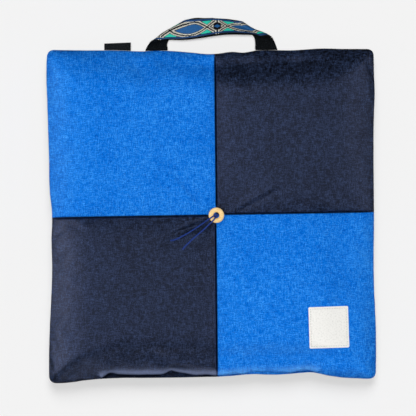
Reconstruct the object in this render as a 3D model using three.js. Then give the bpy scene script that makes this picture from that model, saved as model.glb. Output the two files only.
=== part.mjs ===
// An outdoor seat cushion: a square patchwork pad, drawn down in the middle by a thread tied
// through a wooden ring, with a carrying handle of webbing faced with a woven ribbon, a side
// tag in the top seam and a label patch on the face.
// Millimetres. The origin is the middle of the flat underside, +Y points to the handle and +Z
// out of the patchwork face.

import * as THREE from 'three';

// The seam line round the pad, seen from above: four corners, and how far each side is drawn
// in from the straight line between its corners.
const CORNERS = {
  topLeft: { x: -200.6, y: 203.4 },
  topRight: { x: 198.6, y: 204.7 },
  bottomLeft: { x: -198.3, y: -203.4 },
  bottomRight: { x: 200.4, y: -197.9 },
};
const PAD_WIDTH = 399;
const PAD_LENGTH = 405;
const CORNER_RADIUS = 8;

// Along is measured from the side's left or lower corner.
const DRAWN_TOP = [
  { along: 0, inward: -0.5 },
  { along: 45, inward: 0.3 },
  { along: 89, inward: 0.6 },
  { along: 116, inward: 1.8 },
  { along: 135, inward: 0.8 },
  { along: 177, inward: 3.5 },
  { along: 201, inward: 5.4 },
  { along: 225, inward: 2.8 },
  { along: 240, inward: 3.8 },
  { along: 256, inward: 1.1 },
  { along: 300, inward: 1 },
  { along: 332, inward: -0.9 },
  { along: 360, inward: -0.5 },
  { along: 399, inward: -0.2 },
];
const DRAWN_BOTTOM = [
  { along: 0, inward: -0.4 },
  { along: 23, inward: -0.3 },
  { along: 43, inward: 2.2 },
  { along: 82, inward: 4.5 },
  { along: 115, inward: 4.3 },
  { along: 189, inward: 4.5 },
  { along: 224, inward: 5.5 },
  { along: 248, inward: 7.1 },
  { along: 268, inward: 6.2 },
  { along: 290, inward: 6.6 },
  { along: 312, inward: 8.2 },
  { along: 323, inward: 8.2 },
  { along: 345, inward: 3.4 },
  { along: 378, inward: 0.1 },
  { along: 399, inward: -0.5 },
];
const DRAWN_LEFT = [
  { along: 0, inward: -0.2 },
  { along: 38, inward: -0.2 },
  { along: 101, inward: 2.6 },
  { along: 138, inward: 4 },
  { along: 174, inward: 3.5 },
  { along: 205, inward: 4.4 },
  { along: 234, inward: 1.7 },
  { along: 272, inward: 1.1 },
  { along: 311, inward: 0 },
  { along: 345, inward: -0.8 },
  { along: 377, inward: -1.6 },
  { along: 405, inward: -0.3 },
];
const DRAWN_RIGHT = [
  { along: 0, inward: -0.5 },
  { along: 43, inward: -1.1 },
  { along: 87, inward: -0.1 },
  { along: 109, inward: 0.9 },
  { along: 153, inward: 1.4 },
  { along: 174, inward: 1 },
  { along: 218, inward: 0.8 },
  { along: 284, inward: 0.9 },
  { along: 328, inward: 0.1 },
  { along: 350, inward: -0.8 },
  { along: 372, inward: -0.2 },
  { along: 405, inward: 0.3 },
];
const DRAW_IN_REACH = 45; // a drawn-in side fades out over this distance into the face

// The form of the filled pad in section.
const SEAM_HEIGHT = 21;
const CORNER_SEAM_HEIGHT = 15;
const CORNER_DIP_POWER = 4; // keeps the seam's dip close to its corners
const FACE_HEIGHT = 46;
const PANEL_CROWN = 3.5; // each of the four panels swells this much in its middle
const ROLL = { left: 44, right: 60, top: 46, bottom: 42 }; // width of the rounded-over margin
const ROLL_POWER = 1.5;
const HIP_SHARPNESS = 5; // how sharply two margins meet over a corner
const UNDER_ROLL = 26; // the underside lifts off the ground this far inside the seam line

// The seams between the panels, as shares of the pad's width and length.
const UPRIGHT_SEAM = { atBottom: 0.5163, atTop: 0.5113 };
const LEVEL_SEAM = { atLeft: 0.4969, atRight: 0.505 };
const SEAM_VALLEY = { depth: 2.4, reach: 9 };
const SEAM_GROOVE = { depth: 1.2, halfWidth: 1.8 };

// The tie in the middle, and the wooden ring that it passes through.
const TUFT = { x: 5.9, y: 1.6, depth: 7, reach: 22, grooveFade: 8 };
const RING = { outerRadius: 9.5, holeRadius: 3.5, thickness: 5, squareness: 2.6 };
const RING_CELLS = { section: 14, round: 30 };
const RING_SEAT = { shares: [0.5, 0.65, 0.8], places: 24 }; // where the ring can touch the cloth
const KNOT = { radius: 2.6, height: 6.4, lumps: 3, lumpSize: 0.12, lumpTurn: 4 };
const KNOT_CELLS = { round: 14, tall: 9 };
const GAP = 0.3; // between pieces that touch
const SEAM_GAP = 0.45; // from the edge seam to what is sewn into it

// Soft troughs (depth above 0) and ridges (below 0) in the face. Turn is the angle of the
// trough's length from +X, in degrees.
const FACE_FOLDS = [
  { x: -20, y: 27, turn: 136, length: 26, width: 6, depth: 1.4 },
  { x: 34, y: 24, turn: 38, length: 28, width: 6, depth: 1.3 },
  { x: -28, y: -8, turn: 196, length: 24, width: 5, depth: 1.2 },
  { x: -18, y: -24, turn: 232, length: 18, width: 6, depth: 0.8 },
  { x: 27, y: -20, turn: 318, length: 20, width: 7, depth: 0.8 },
  { x: -126, y: -188, turn: 75, length: 11, width: 6, depth: 3.0 },
  { x: -108, y: -186, turn: 100, length: 12, width: 9, depth: -1.5 },
  { x: -38, y: -181, turn: 158, length: 13, width: 5, depth: 3.2 },
  { x: -26, y: -170, turn: 120, length: 14, width: 9, depth: -1.6 },
  { x: 118, y: -178, turn: 95, length: 13, width: 6, depth: 3.4 },
  { x: -188, y: -14, turn: 10, length: 12, width: 6, depth: 1.6 },
  { x: -187, y: -62, turn: -12, length: 14, width: 7, depth: 2.0 },
  { x: -189, y: -102, turn: 14, length: 11, width: 6, depth: 1.5 },
  { x: 188, y: -66, turn: 4, length: 14, width: 8, depth: 1.8 },
  { x: 38, y: 190, turn: 80, length: 10, width: 6, depth: 1.6 },
  { x: 100, y: 190, turn: 96, length: 11, width: 9, depth: 1.5 },
];

const HALF_CELLS = 24; // grid cells from a side of the pad to the seam between panels
const UNDER_STEPS = 5;
const WALK_STEPS = 6; // enough to find a place on the face to a thousandth of a millimetre
const GROUND_HUB = { radius: 90, corners: 3 };

// The handle's webbing rises out of the top seam leaning inwards, rolls over towards the face
// along a slanting line, and crosses to the other foot with its ribbon side showing.
const FOOT = { x: 67.4, leanDegrees: 68, height: 21 };
const FOLD = { x: 54.2, y: 222.3, slantDegrees: 34, radius: 4.5 };
const WEBBING = { width: 25, thickness: 1.5 };
const RIBBON = { width: 22.4, thickness: 1.0 };
const TILT = { slope: 0.07, from: 203, to: 225, sagFrom: 222, sagTo: 243, rightSag: 2 };
const CROSSING = { bow: 4, leanDegrees: 28, rightLean: 30, y: 231.5, height: 28 };
// Soft webbing gives where it folds. Each row draws what is near x, y to the right and up, less
// with distance over its reach, and nothing moves at the seam.
const GIVES = [
  { x: -30, y: 243, reach: 15, right: 9, up: 3 },
  { x: 5, y: 247, reach: 24, right: 0, up: 1.3 },
  { x: 58, y: 235, reach: 14, right: -3, up: -4 },
  { x: -49, y: 213, reach: 10, right: -3.5, up: 1.2 },
  { x: 50, y: 217, reach: 10, right: 3.5, up: 1.8 },
  { x: -62, y: 222, reach: 12, right: -1, up: 0.8 },
];
const GIVE_ROOT = { from: 203, over: 6 };
const ROLL_STEPS = 12;
const CROSSING_STEPS = 7;
const ACROSS_STEPS = 4;

// The folded tag in the top seam and the square patch on the face.
const TAG = { left: -131, right: -98.7, farLeft: 211.3, farRight: 212.6 };
const TAG_CLOTH = { thickness: 1.2, lift: 1.2, cellsAcross: 6, cellsOut: 3 };
const PATCH = { x: 143, y: -135, width: 48.5, length: 50.5, turnDegrees: 1.8, corner: 1.6 };
const PATCH_CLOTH = { thickness: 1, gap: 0.35, cells: 10 };

// The tie's two free ends, each a route of points from the knot over the ring to its bare end.
const THREAD_DIAMETER = 1.8;
const THREAD_SIDES = 8;
const THREAD_STEP = 2.2; // length of a step along the thread, in diameters
const END_A = [
  { x: 5.2, y: 2.3, z: 41.85 },
  { x: 3.3, y: 1.1, z: 42.45 },
  { x: 1.0, y: -0.4, z: 42.85 },
  { x: -1.8, y: -2.2, z: 42.85 },
  { x: -4.8, y: -4.2, z: 42.45 },
  { x: -8.4, y: -6.8, z: 41.85 },
  { x: -13.2, y: -10.2, z: 42.25 },
  { x: -23.1, y: -16.6, z: 44.65 },
  { x: -33.1, y: -22.7, z: 46.5 },
  { x: -44.3, y: -28.2, z: 47.6 },
  { x: -50.1, y: -29.3, z: 47.9 },
];
const END_B = [
  { x: 6.4, y: 0.6, z: 41.85 },
  { x: 5.1, y: -1.0, z: 42.45 },
  { x: 3.5, y: -3.0, z: 42.85 },
  { x: 1.7, y: -5.1, z: 42.85 },
  { x: -0.5, y: -7.3, z: 42.45 },
  { x: -4.0, y: -10.6, z: 41.85 },
  { x: -10.6, y: -16.8, z: 42.95 },
  { x: -18.8, y: -23.7, z: 44.65 },
  { x: -25.6, y: -29.9, z: 46.1 },
  { x: -32.5, y: -36.7, z: 47.3 },
  { x: -35.3, y: -40.5, z: 47.7 },
];

const mix = (from, to, share) => from + (to - from) * share;
const clamp = (value) => Math.min(1, Math.max(0, value));
const smooth = (share) => share * share * (3 - 2 * share);
const radians = (degrees) => (degrees * Math.PI) / 180;
const bell = (offset) => Math.exp(-offset * offset);

// A smooth curve through the rows of a drawn-in side.
function drawnAt(rows, along) {
  const last = rows.length - 1;
  let index = 0;
  while (index < last - 1 && along > rows[index + 1].along) index += 1;
  const slopeAt = (row) => {
    const before = rows[Math.max(0, row - 1)];
    const after = rows[Math.min(last, row + 1)];
    return (after.inward - before.inward) / (after.along - before.along);
  };
  const start = rows[index];
  const end = rows[index + 1];
  const span = end.along - start.along;
  const share = clamp((along - start.along) / span);
  const left = start.inward + slopeAt(index) * span * share;
  const right = end.inward - slopeAt(index + 1) * span * (1 - share);
  return mix(left, right, smooth(share));
}

// Rounds the four corners of the face's rectangle: distances from the left and lower sides.
function roundCorner(fromLeft, fromBottom) {
  const nearX = Math.min(fromLeft, PAD_WIDTH - fromLeft);
  const nearY = Math.min(fromBottom, PAD_LENGTH - fromBottom);
  if (nearX >= CORNER_RADIUS || nearY >= CORNER_RADIUS) return [fromLeft, fromBottom];
  const outX = 1 - nearX / CORNER_RADIUS;
  const outY = 1 - nearY / CORNER_RADIUS;
  const x = CORNER_RADIUS * (1 - outX * Math.sqrt(1 - (outY * outY) / 2));
  const y = CORNER_RADIUS * (1 - outY * Math.sqrt(1 - (outX * outX) / 2));
  return [
    fromLeft < PAD_WIDTH / 2 ? x : PAD_WIDTH - x,
    fromBottom < PAD_LENGTH / 2 ? y : PAD_LENGTH - y,
  ];
}

// The place in plan of a point of the face, given as shares across and up the pad.
function plan(acrossShare, upShare) {
  const [fromLeft, fromBottom] = roundCorner(acrossShare * PAD_WIDTH, upShare * PAD_LENGTH);
  const across = fromLeft / PAD_WIDTH;
  const up = fromBottom / PAD_LENGTH;
  const { topLeft, topRight, bottomLeft, bottomRight } = CORNERS;
  const x = mix(mix(bottomLeft.x, bottomRight.x, across), mix(topLeft.x, topRight.x, across), up);
  const y = mix(mix(bottomLeft.y, bottomRight.y, across), mix(topLeft.y, topRight.y, across), up);
  const pull = (rows, along, distance) => drawnAt(rows, along) * bell(distance / DRAW_IN_REACH);
  return {
    x:
      x +
      pull(DRAWN_LEFT, fromBottom, fromLeft) -
      pull(DRAWN_RIGHT, fromBottom, PAD_WIDTH - fromLeft),
    y:
      y +
      pull(DRAWN_BOTTOM, fromLeft, fromBottom) -
      pull(DRAWN_TOP, fromLeft, PAD_LENGTH - fromBottom),
  };
}

// The height of the edge seam, which dips towards the corners.
function seamHeight(across, up) {
  const cornerness = Math.abs((2 * across - 1) * (2 * up - 1)) ** CORNER_DIP_POWER;
  return mix(SEAM_HEIGHT, CORNER_SEAM_HEIGHT, cornerness);
}

function marginRise(distance, roll) {
  const outward = clamp(1 - distance / roll);
  return (1 - outward ** ROLL_POWER) ** (1 / ROLL_POWER);
}

// How far the face has risen, from 0 at the edge seam to 1 inside its rounded margins.
function rise(across, up) {
  const riseX = Math.min(
    marginRise(across * PAD_WIDTH, ROLL.left),
    marginRise((1 - across) * PAD_WIDTH, ROLL.right),
  );
  const riseY = Math.min(
    marginRise(up * PAD_LENGTH, ROLL.bottom),
    marginRise((1 - up) * PAD_LENGTH, ROLL.top),
  );
  const fall = ((1 - riseX) ** HIP_SHARPNESS + (1 - riseY) ** HIP_SHARPNESS) ** (1 / HIP_SHARPNESS);
  return clamp(1 - fall);
}

// How far a seam between panels pulls the face down at a distance from it. The ring presses
// its groove flat.
function seamPull(distance, fromRing) {
  const valley = SEAM_VALLEY.depth * Math.exp(-Math.abs(distance) / SEAM_VALLEY.reach);
  const groove = SEAM_GROOVE.depth * bell(distance / SEAM_GROOVE.halfWidth);
  return valley + groove * smooth(clamp(fromRing / TUFT.grooveFade));
}

function foldDepth(fold, x, y) {
  const turn = radians(fold.turn);
  const along = (x - fold.x) * Math.cos(turn) + (y - fold.y) * Math.sin(turn);
  const aside = (y - fold.y) * Math.cos(turn) - (x - fold.x) * Math.sin(turn);
  return fold.depth * bell(along / fold.length) * bell(aside / fold.width);
}

// A point of the patchwork face.
function facePoint(across, up) {
  const { x, y } = plan(across, up);
  const seamAcross = mix(UPRIGHT_SEAM.atBottom, UPRIGHT_SEAM.atTop, up);
  const seamUp = mix(LEVEL_SEAM.atLeft, LEVEL_SEAM.atRight, across);
  const intoPanelX = across < seamAcross ? across / seamAcross : (1 - across) / (1 - seamAcross);
  const intoPanelY = up < seamUp ? up / seamUp : (1 - up) / (1 - seamUp);
  const crown = PANEL_CROWN * Math.sin(Math.PI * intoPanelX) * Math.sin(Math.PI * intoPanelY);
  const fromRing = Math.max(0, Math.hypot(x - TUFT.x, y - TUFT.y) - RING.outerRadius);
  const pull =
    seamPull((across - seamAcross) * PAD_WIDTH, fromRing) +
    seamPull((up - seamUp) * PAD_LENGTH, fromRing);
  const tuft = TUFT.depth * Math.exp(-fromRing / TUFT.reach);
  const folds = FACE_FOLDS.reduce((sum, fold) => sum + foldDepth(fold, x, y), 0);
  const base = seamHeight(across, up);
  const z = base + rise(across, up) * (FACE_HEIGHT - base + crown - pull - tuft - folds);
  return new THREE.Vector3(x, y, z);
}

// The face's height over a place in plan, found by walking the shares towards it.
function faceHeight(x, y) {
  let across = (x - CORNERS.bottomLeft.x) / PAD_WIDTH;
  let up = (y - CORNERS.bottomLeft.y) / PAD_LENGTH;
  let point = facePoint(across, up);
  for (let step = 0; step < WALK_STEPS; step += 1) {
    across += (x - point.x) / PAD_WIDTH;
    up += (y - point.y) / PAD_LENGTH;
    point = facePoint(across, up);
  }
  return point.z;
}

// The top seam's place over an x.
function topSeam(x) {
  const across = (x - CORNERS.topLeft.x) / (CORNERS.topRight.x - CORNERS.topLeft.x);
  return { y: plan(across, 1).y, z: seamHeight(across, 1) };
}

function solid(name, vertices, triangles, material) {
  const geometry = new THREE.BufferGeometry();
  const numbers = vertices.flatMap((vertex) => [vertex.x, vertex.y, vertex.z]);
  geometry.setAttribute('position', new THREE.Float32BufferAttribute(numbers, 3));
  geometry.setIndex(triangles);
  geometry.computeVertexNormals();
  const mesh = new THREE.Mesh(geometry, material);
  mesh.name = name;
  return mesh;
}

// A closed slab between two like grids of points, upper[row][column] over lower[row][column].
// Rows run the first way round and columns the second, counterclockwise seen from above.
function slab(name, upper, lower, material) {
  const rows = upper.length;
  const columns = upper[0].length;
  const vertices = [...upper.flat(), ...lower.flat()];
  const top = (row, column) => row * columns + column;
  const under = (row, column) => rows * columns + top(row, column);
  const triangles = [];
  const quad = (a, b, c, d) => triangles.push(a, b, c, a, c, d);
  for (let row = 0; row < rows - 1; row += 1)
    for (let column = 0; column < columns - 1; column += 1) {
      const [r, c] = [row + 1, column + 1];
      quad(top(row, column), top(r, column), top(r, c), top(row, c));
      quad(under(row, column), under(row, c), under(r, c), under(r, column));
    }
  for (let row = 0; row < rows - 1; row += 1) {
    const end = columns - 1;
    quad(under(row, 0), under(row + 1, 0), top(row + 1, 0), top(row, 0));
    quad(top(row, end), top(row + 1, end), under(row + 1, end), under(row, end));
  }
  for (let column = 0; column < columns - 1; column += 1) {
    const end = rows - 1;
    quad(top(0, column), top(0, column + 1), under(0, column + 1), under(0, column));
    quad(under(end, column), under(end, column + 1), top(end, column + 1), top(end, column));
  }
  return solid(name, vertices, triangles, material);
}

// Grid lines across a side: closest at the two ends of each half.
function gridShare(line, seamShare) {
  const half = (cells) => (1 - Math.cos((Math.PI * cells) / HALF_CELLS)) / 2;
  return line <= HALF_CELLS
    ? seamShare * half(line)
    : mix(seamShare, 1, half(line - HALF_CELLS));
}

function cushion(material) {
  const lines = 2 * HALF_CELLS;
  const vertices = [];
  const triangles = [];
  const shares = [];
  for (let row = 0; row <= lines; row += 1)
    for (let column = 0; column <= lines; column += 1) {
      const roughUp = gridShare(row, LEVEL_SEAM.atLeft);
      const across = gridShare(column, mix(UPRIGHT_SEAM.atBottom, UPRIGHT_SEAM.atTop, roughUp));
      const up = gridShare(row, mix(LEVEL_SEAM.atLeft, LEVEL_SEAM.atRight, across));
      shares.push({ across, up });
      vertices.push(facePoint(across, up));
    }
  const at = (row, column) => row * (lines + 1) + column;
  for (let row = 0; row < lines; row += 1)
    for (let column = 0; column < lines; column += 1) {
      const [a, b] = [at(row, column), at(row, column + 1)];
      const [c, d] = [at(row + 1, column + 1), at(row + 1, column)];
      // Each cell's diagonal points to the middle, so that the hips and the tuft stay clean.
      if (row < HALF_CELLS === column < HALF_CELLS) triangles.push(a, b, c, a, c, d);
      else triangles.push(a, b, d, b, c, d);
    }

  // The seam line, counterclockwise, then rings that roll under it to the flat underside.
  const edge = [];
  for (let i = 0; i < lines; i += 1) edge.push(at(0, i));
  for (let i = 0; i < lines; i += 1) edge.push(at(i, lines));
  for (let i = lines; i > 0; i -= 1) edge.push(at(lines, i));
  for (let i = lines; i > 0; i -= 1) edge.push(at(i, 0));
  let ring = edge;
  for (let step = 1; step <= UNDER_STEPS; step += 1) {
    const angle = (Math.PI / 2) * (step / UNDER_STEPS);
    const inset = UNDER_ROLL * (1 - Math.cos(angle));
    const lower = edge.map((index) => {
      const { across, up } = shares[index];
      const { x, y } = plan(
        0.5 + (across - 0.5) * (1 - (2 * inset) / PAD_WIDTH),
        0.5 + (up - 0.5) * (1 - (2 * inset) / PAD_LENGTH),
      );
      const z = step === UNDER_STEPS ? 0 : seamHeight(across, up) * (1 - Math.sin(angle));
      return vertices.push(new THREE.Vector3(x, y, z)) - 1;
    });
    ring.forEach((outer, i) => {
      const next = (i + 1) % ring.length;
      triangles.push(outer, lower[i], ring[next], ring[next], lower[i], lower[next]);
    });
    ring = lower;
  }

  // The flat underside: the last ring joined to a few hub points round the middle.
  const hub = Array.from({ length: GROUND_HUB.corners }, (_, corner) => {
    const angle = (2 * Math.PI * (corner + 0.5)) / GROUND_HUB.corners;
    const { radius } = GROUND_HUB;
    const x = radius * Math.cos(angle);
    const y = radius * Math.sin(angle);
    return vertices.push(new THREE.Vector3(x, y, 0)) - 1;
  });
  const sector = (i) => {
    const from = vertices[ring[i]];
    const to = vertices[ring[(i + 1) % ring.length]];
    const turn = Math.atan2(from.y + to.y, from.x + to.x) / (2 * Math.PI);
    return Math.floor((turn + 1) * GROUND_HUB.corners) % GROUND_HUB.corners;
  };
  ring.forEach((outer, i) => {
    const next = (i + 1) % ring.length;
    const here = hub[sector(i)];
    const there = hub[sector(next)];
    triangles.push(outer, here, ring[next]);
    if (here !== there) triangles.push(ring[next], here, there);
  });
  triangles.push(hub[0], hub[2], hub[1]);
  return solid('cushion', vertices, triangles, material);
}

// A point of the left half of the handle: along the strap from its foot, across it, and off
// its middle plane towards the side that faces up at the foot.
function strapPoint(along, across, off) {
  const lean = radians(FOOT.leanDegrees);
  const slant = radians(FOLD.slantDegrees);
  const footY = topSeam(-FOOT.x).y + SEAM_GAP;
  const x = -FOOT.x + along * Math.cos(lean) + across * Math.sin(lean) + FOLD.x;
  const y = footY + along * Math.sin(lean) - across * Math.cos(lean) - FOLD.y;
  const alongFold = x * Math.cos(slant) + y * Math.sin(slant);
  const pastFold = y * Math.cos(slant) - x * Math.sin(slant);
  const angle = Math.min(Math.PI, Math.max(0, pastFold / FOLD.radius));
  const flat = Math.min(0, pastFold) - Math.max(0, pastFold - Math.PI * FOLD.radius);
  const outward = flat + (FOLD.radius - off) * Math.sin(angle);
  const height = FOOT.height + off * Math.cos(angle) + FOLD.radius * (1 - Math.cos(angle));
  return new THREE.Vector3(
    -FOLD.x + alongFold * Math.cos(slant) - outward * Math.sin(slant),
    FOLD.y + alongFold * Math.sin(slant) + outward * Math.cos(slant),
    height,
  );
}

// How far along the strap a line across it lies, at one of its edges: at the foot's cut end,
// at a turn of the roll, or on the crossing to the middle.
function stationAlong(station, across) {
  const lean = radians(FOOT.leanDegrees);
  const slant = radians(FOLD.slantDegrees);
  if (station < 0) return (across * Math.cos(lean)) / Math.sin(lean);
  const footY = topSeam(-FOOT.x).y + SEAM_GAP;
  const startPast =
    (footY - FOLD.y) * Math.cos(slant) - (FOLD.x - FOOT.x) * Math.sin(slant);
  const pastPerAlong = Math.sin(lean - slant);
  const pastPerAcross = -Math.cos(lean - slant);
  const past = Math.PI * FOLD.radius * Math.min(1, station / ROLL_STEPS);
  const rolled = (past - startPast - pastPerAcross * across) / pastPerAlong;
  const share = Math.max(0, (station - ROLL_STEPS) / CROSSING_STEPS);
  return mix(rolled, middleAlong(), share);
}

function middleAlong() {
  const crossing = 100; // any length beyond the roll, to measure how far the middle is from it
  const point = strapPoint(crossing, 0, 0);
  return crossing - point.x;
}

// Between its two rolls the strap bows up and leans, with its edge nearer the pad raised, most
// on its right.
function leanCrossing(point, share) {
  const fullLean = CROSSING.leanDegrees + (CROSSING.rightLean * point.x) / FOLD.x;
  const lean = radians(fullLean) * share;
  const y = point.y - CROSSING.y;
  const z = point.z - CROSSING.height;
  point.y = CROSSING.y + y * Math.cos(lean) + z * Math.sin(lean);
  point.z = CROSSING.height + z * Math.cos(lean) - y * Math.sin(lean) + CROSSING.bow * share;
  return point;
}

// The whole handle stands a little higher on its right, where its upper edge sags instead.
function tilt({ x, y }) {
  const raised = smooth(clamp((y - TILT.from) / (TILT.to - TILT.from)));
  const sagging = smooth(clamp((y - TILT.sagFrom) / (TILT.sagTo - TILT.sagFrom)));
  return TILT.slope * x * (raised - (x > 0 ? TILT.rightSag * sagging : 0));
}

// How far the strap's middle plane is drawn away from a flat fold at one of its places.
function given(place) {
  const y = place.y + tilt(place);
  const free = smooth(clamp((y - GIVE_ROOT.from) / GIVE_ROOT.over));
  const shift = new THREE.Vector3(0, tilt(place), 0);
  for (const give of GIVES) {
    const share = free * bell(Math.hypot(place.x - give.x, y - give.y) / give.reach);
    shift.x += share * give.right;
    shift.y += share * give.up;
  }
  return shift;
}

// A layer of the handle, between two distances off the webbing's middle plane.
function strap(name, width, offUpper, offLower, material) {
  const half = (off, side) =>
    Array.from({ length: ROLL_STEPS + CROSSING_STEPS + 2 }, (_, line) =>
      Array.from({ length: ACROSS_STEPS + 1 }, (__, step) => {
        const station = line - 1;
        const across = width * (step / ACROSS_STEPS - 0.5);
        const onCrossing = clamp((station - ROLL_STEPS) / CROSSING_STEPS);
        const place = (offMiddle) => {
          const point = strapPoint(stationAlong(station, across), across, offMiddle);
          point.x *= side;
          return leanCrossing(point, Math.sin((Math.PI / 2) * onCrossing));
        };
        const point = place(off).add(given(place(0)));
        if (line === 0) point.y = topSeam(point.x).y + SEAM_GAP;
        return point;
      }),
    );
  const layer = (off) => [...half(off, 1).slice(0, -1), ...half(off, -1).reverse()];
  return slab(name, layer(offLower), layer(offUpper), material);
}

function sideTag(material) {
  const { thickness, lift, cellsAcross, cellsOut } = TAG_CLOTH;
  const layer = (off) =>
    Array.from({ length: cellsAcross + 1 }, (_, column) => {
      const share = column / cellsAcross;
      const x = mix(TAG.left, TAG.right, share);
      const seam = topSeam(x);
      const far = mix(TAG.farLeft, TAG.farRight, share);
      return Array.from({ length: cellsOut + 1 }, (__, row) => {
        const out = row / cellsOut;
        const y = mix(seam.y + SEAM_GAP, far, out);
        return new THREE.Vector3(x, y, seam.z + off + lift * out * out);
      });
    });
  return slab('side_tag', layer(thickness / 2), layer(-thickness / 2), material);
}

function labelPatch(material) {
  const { thickness, gap, cells } = PATCH_CLOTH;
  const turn = radians(PATCH.turnDegrees);
  const layer = (lift) =>
    Array.from({ length: cells + 1 }, (_, i) =>
      Array.from({ length: cells + 1 }, (__, j) => {
        const rounded = (share, otherShare, size, otherSize) => {
          const near = Math.min(share, 1 - share) * size;
          const otherNear = Math.min(otherShare, 1 - otherShare) * otherSize;
          const out = clamp(1 - near / PATCH.corner);
          const otherOut = clamp(1 - otherNear / PATCH.corner);
          const pulled = PATCH.corner * out * (1 - Math.sqrt(1 - (otherOut * otherOut) / 2));
          return (share - 0.5) * size + (share < 0.5 ? pulled : -pulled);
        };
        const right = rounded(i / cells, j / cells, PATCH.width, PATCH.length);
        const up = rounded(j / cells, i / cells, PATCH.length, PATCH.width);
        const x = PATCH.x + right * Math.cos(turn) - up * Math.sin(turn);
        const y = PATCH.y + right * Math.sin(turn) + up * Math.cos(turn);
        return new THREE.Vector3(x, y, faceHeight(x, y) + lift);
      }),
    );
  return slab('label_patch', layer(gap + thickness), layer(gap), material);
}

// The highest point of the face under the ring, which the ring rests on.
function ringSeat() {
  let seat = 0;
  for (let place = 0; place < RING_SEAT.places; place += 1)
    for (const share of RING_SEAT.shares) {
      const angle = (2 * Math.PI * place) / RING_SEAT.places;
      const x = TUFT.x + share * RING.outerRadius * Math.cos(angle);
      const y = TUFT.y + share * RING.outerRadius * Math.sin(angle);
      seat = Math.max(seat, faceHeight(x, y));
    }
  return seat;
}

function ring(material) {
  const middle = (RING.outerRadius + RING.holeRadius) / 2;
  const halfWidth = (RING.outerRadius - RING.holeRadius) / 2;
  const power = 2 / RING.squareness;
  const section = Array.from({ length: RING_CELLS.section + 1 }, (_, i) => {
    const angle = (2 * Math.PI * (i % RING_CELLS.section)) / RING_CELLS.section;
    const reach = (value) => Math.sign(value) * Math.abs(value) ** power;
    return new THREE.Vector2(
      middle + halfWidth * reach(Math.cos(angle)),
      (RING.thickness / 2) * reach(Math.sin(angle)),
    );
  });
  const mesh = new THREE.Mesh(new THREE.LatheGeometry(section, RING_CELLS.round), material);
  mesh.rotation.x = Math.PI / 2;
  mesh.position.set(TUFT.x, TUFT.y, ringSeat() + GAP + RING.thickness / 2);
  mesh.name = 'ring';
  return mesh;
}

// The knot sits in the ring's hole on the cloth.
function tieKnot(material) {
  const geometry = new THREE.SphereGeometry(1, KNOT_CELLS.round, KNOT_CELLS.tall);
  const positions = geometry.getAttribute('position');
  const point = new THREE.Vector3();
  for (let i = 0; i < positions.count; i += 1) {
    point.fromBufferAttribute(positions, i);
    const turn = Math.atan2(point.z, point.x);
    const lumping = Math.cos(KNOT.lumps * turn + KNOT.lumpTurn * point.y);
    const lump = 1 - KNOT.lumpSize * ((1 + lumping) / 2);
    point.x *= KNOT.radius * lump;
    point.z *= KNOT.radius * lump;
    point.y *= KNOT.height / 2;
    positions.setXYZ(i, point.x, point.y, point.z);
  }
  const mesh = new THREE.Mesh(geometry, material);
  mesh.rotation.x = Math.PI / 2;
  mesh.position.set(TUFT.x, TUFT.y, faceHeight(TUFT.x, TUFT.y) + GAP + KNOT.height / 2);
  mesh.name = 'tie_knot';
  return mesh;
}

function tieEnd(name, route, material) {
  const points = route.map(({ x, y, z }) => new THREE.Vector3(x, y, z));
  const path = new THREE.CatmullRomCurve3(points, false, 'centripetal');
  const section = new THREE.Shape(
    Array.from({ length: THREAD_SIDES }, (_, side) => {
      const angle = (2 * Math.PI * side) / THREAD_SIDES;
      const radius = THREAD_DIAMETER / 2;
      return new THREE.Vector2(radius * Math.cos(angle), radius * Math.sin(angle));
    }),
  );
  const steps = Math.round(path.getLength() / (THREAD_STEP * THREAD_DIAMETER));
  const geometry = new THREE.ExtrudeGeometry(section, { steps, extrudePath: path });
  const mesh = new THREE.Mesh(geometry, material);
  mesh.name = name;
  return mesh;
}

const finish = (color, roughness) =>
  new THREE.MeshStandardMaterial({ color, roughness, metalness: 0 });
const padCloth = finish(0x1d6fd0, 0.9);
const webbingCloth = finish(0x141519, 0.85);
const ribbonCloth = finish(0x3f6f9c, 0.8);
const tagCloth = finish(0x1d1f22, 0.8);
const patchCloth = finish(0xf3f2ee, 0.8);
const ringWood = finish(0xeec98a, 0.55);
const tieThread = finish(0x1f3f86, 0.8);

const halfWebbing = WEBBING.thickness / 2;
const ribbonTop = -halfWebbing - GAP;

const group = new THREE.Group();
group.add(cushion(padCloth));
group.add(strap('handle_webbing', WEBBING.width, halfWebbing, -halfWebbing, webbingCloth));
group.add(
  strap('handle_ribbon', RIBBON.width, ribbonTop, ribbonTop - RIBBON.thickness, ribbonCloth),
);
group.add(sideTag(tagCloth));
group.add(labelPatch(patchCloth));
group.add(ring(ringWood));
group.add(tieKnot(tieThread));
group.add(tieEnd('tie_end_a', END_A, tieThread));
group.add(tieEnd('tie_end_b', END_B, tieThread));

export default group;
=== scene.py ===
# %% [markdown]
# # A patchwork outdoor cushion
#
# The cushion is a filled square pad with four panels, drawn down in its middle by a thread
# that is tied through a wooden ring. It has a carrying handle of black webbing faced with a
# woven ribbon, a folded side tag and a white patch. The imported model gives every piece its
# place and size, and each cell below gives one piece its real cloth, wood or thread.
#
# Lengths in the tables are millimetres, as on a maker's drawing, and become metres on the way
# into Blender.

# %% Frame and tools
import math

import bpy
import numpy as np
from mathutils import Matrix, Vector, noise
from mathutils.bvhtree import BVHTree


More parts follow.
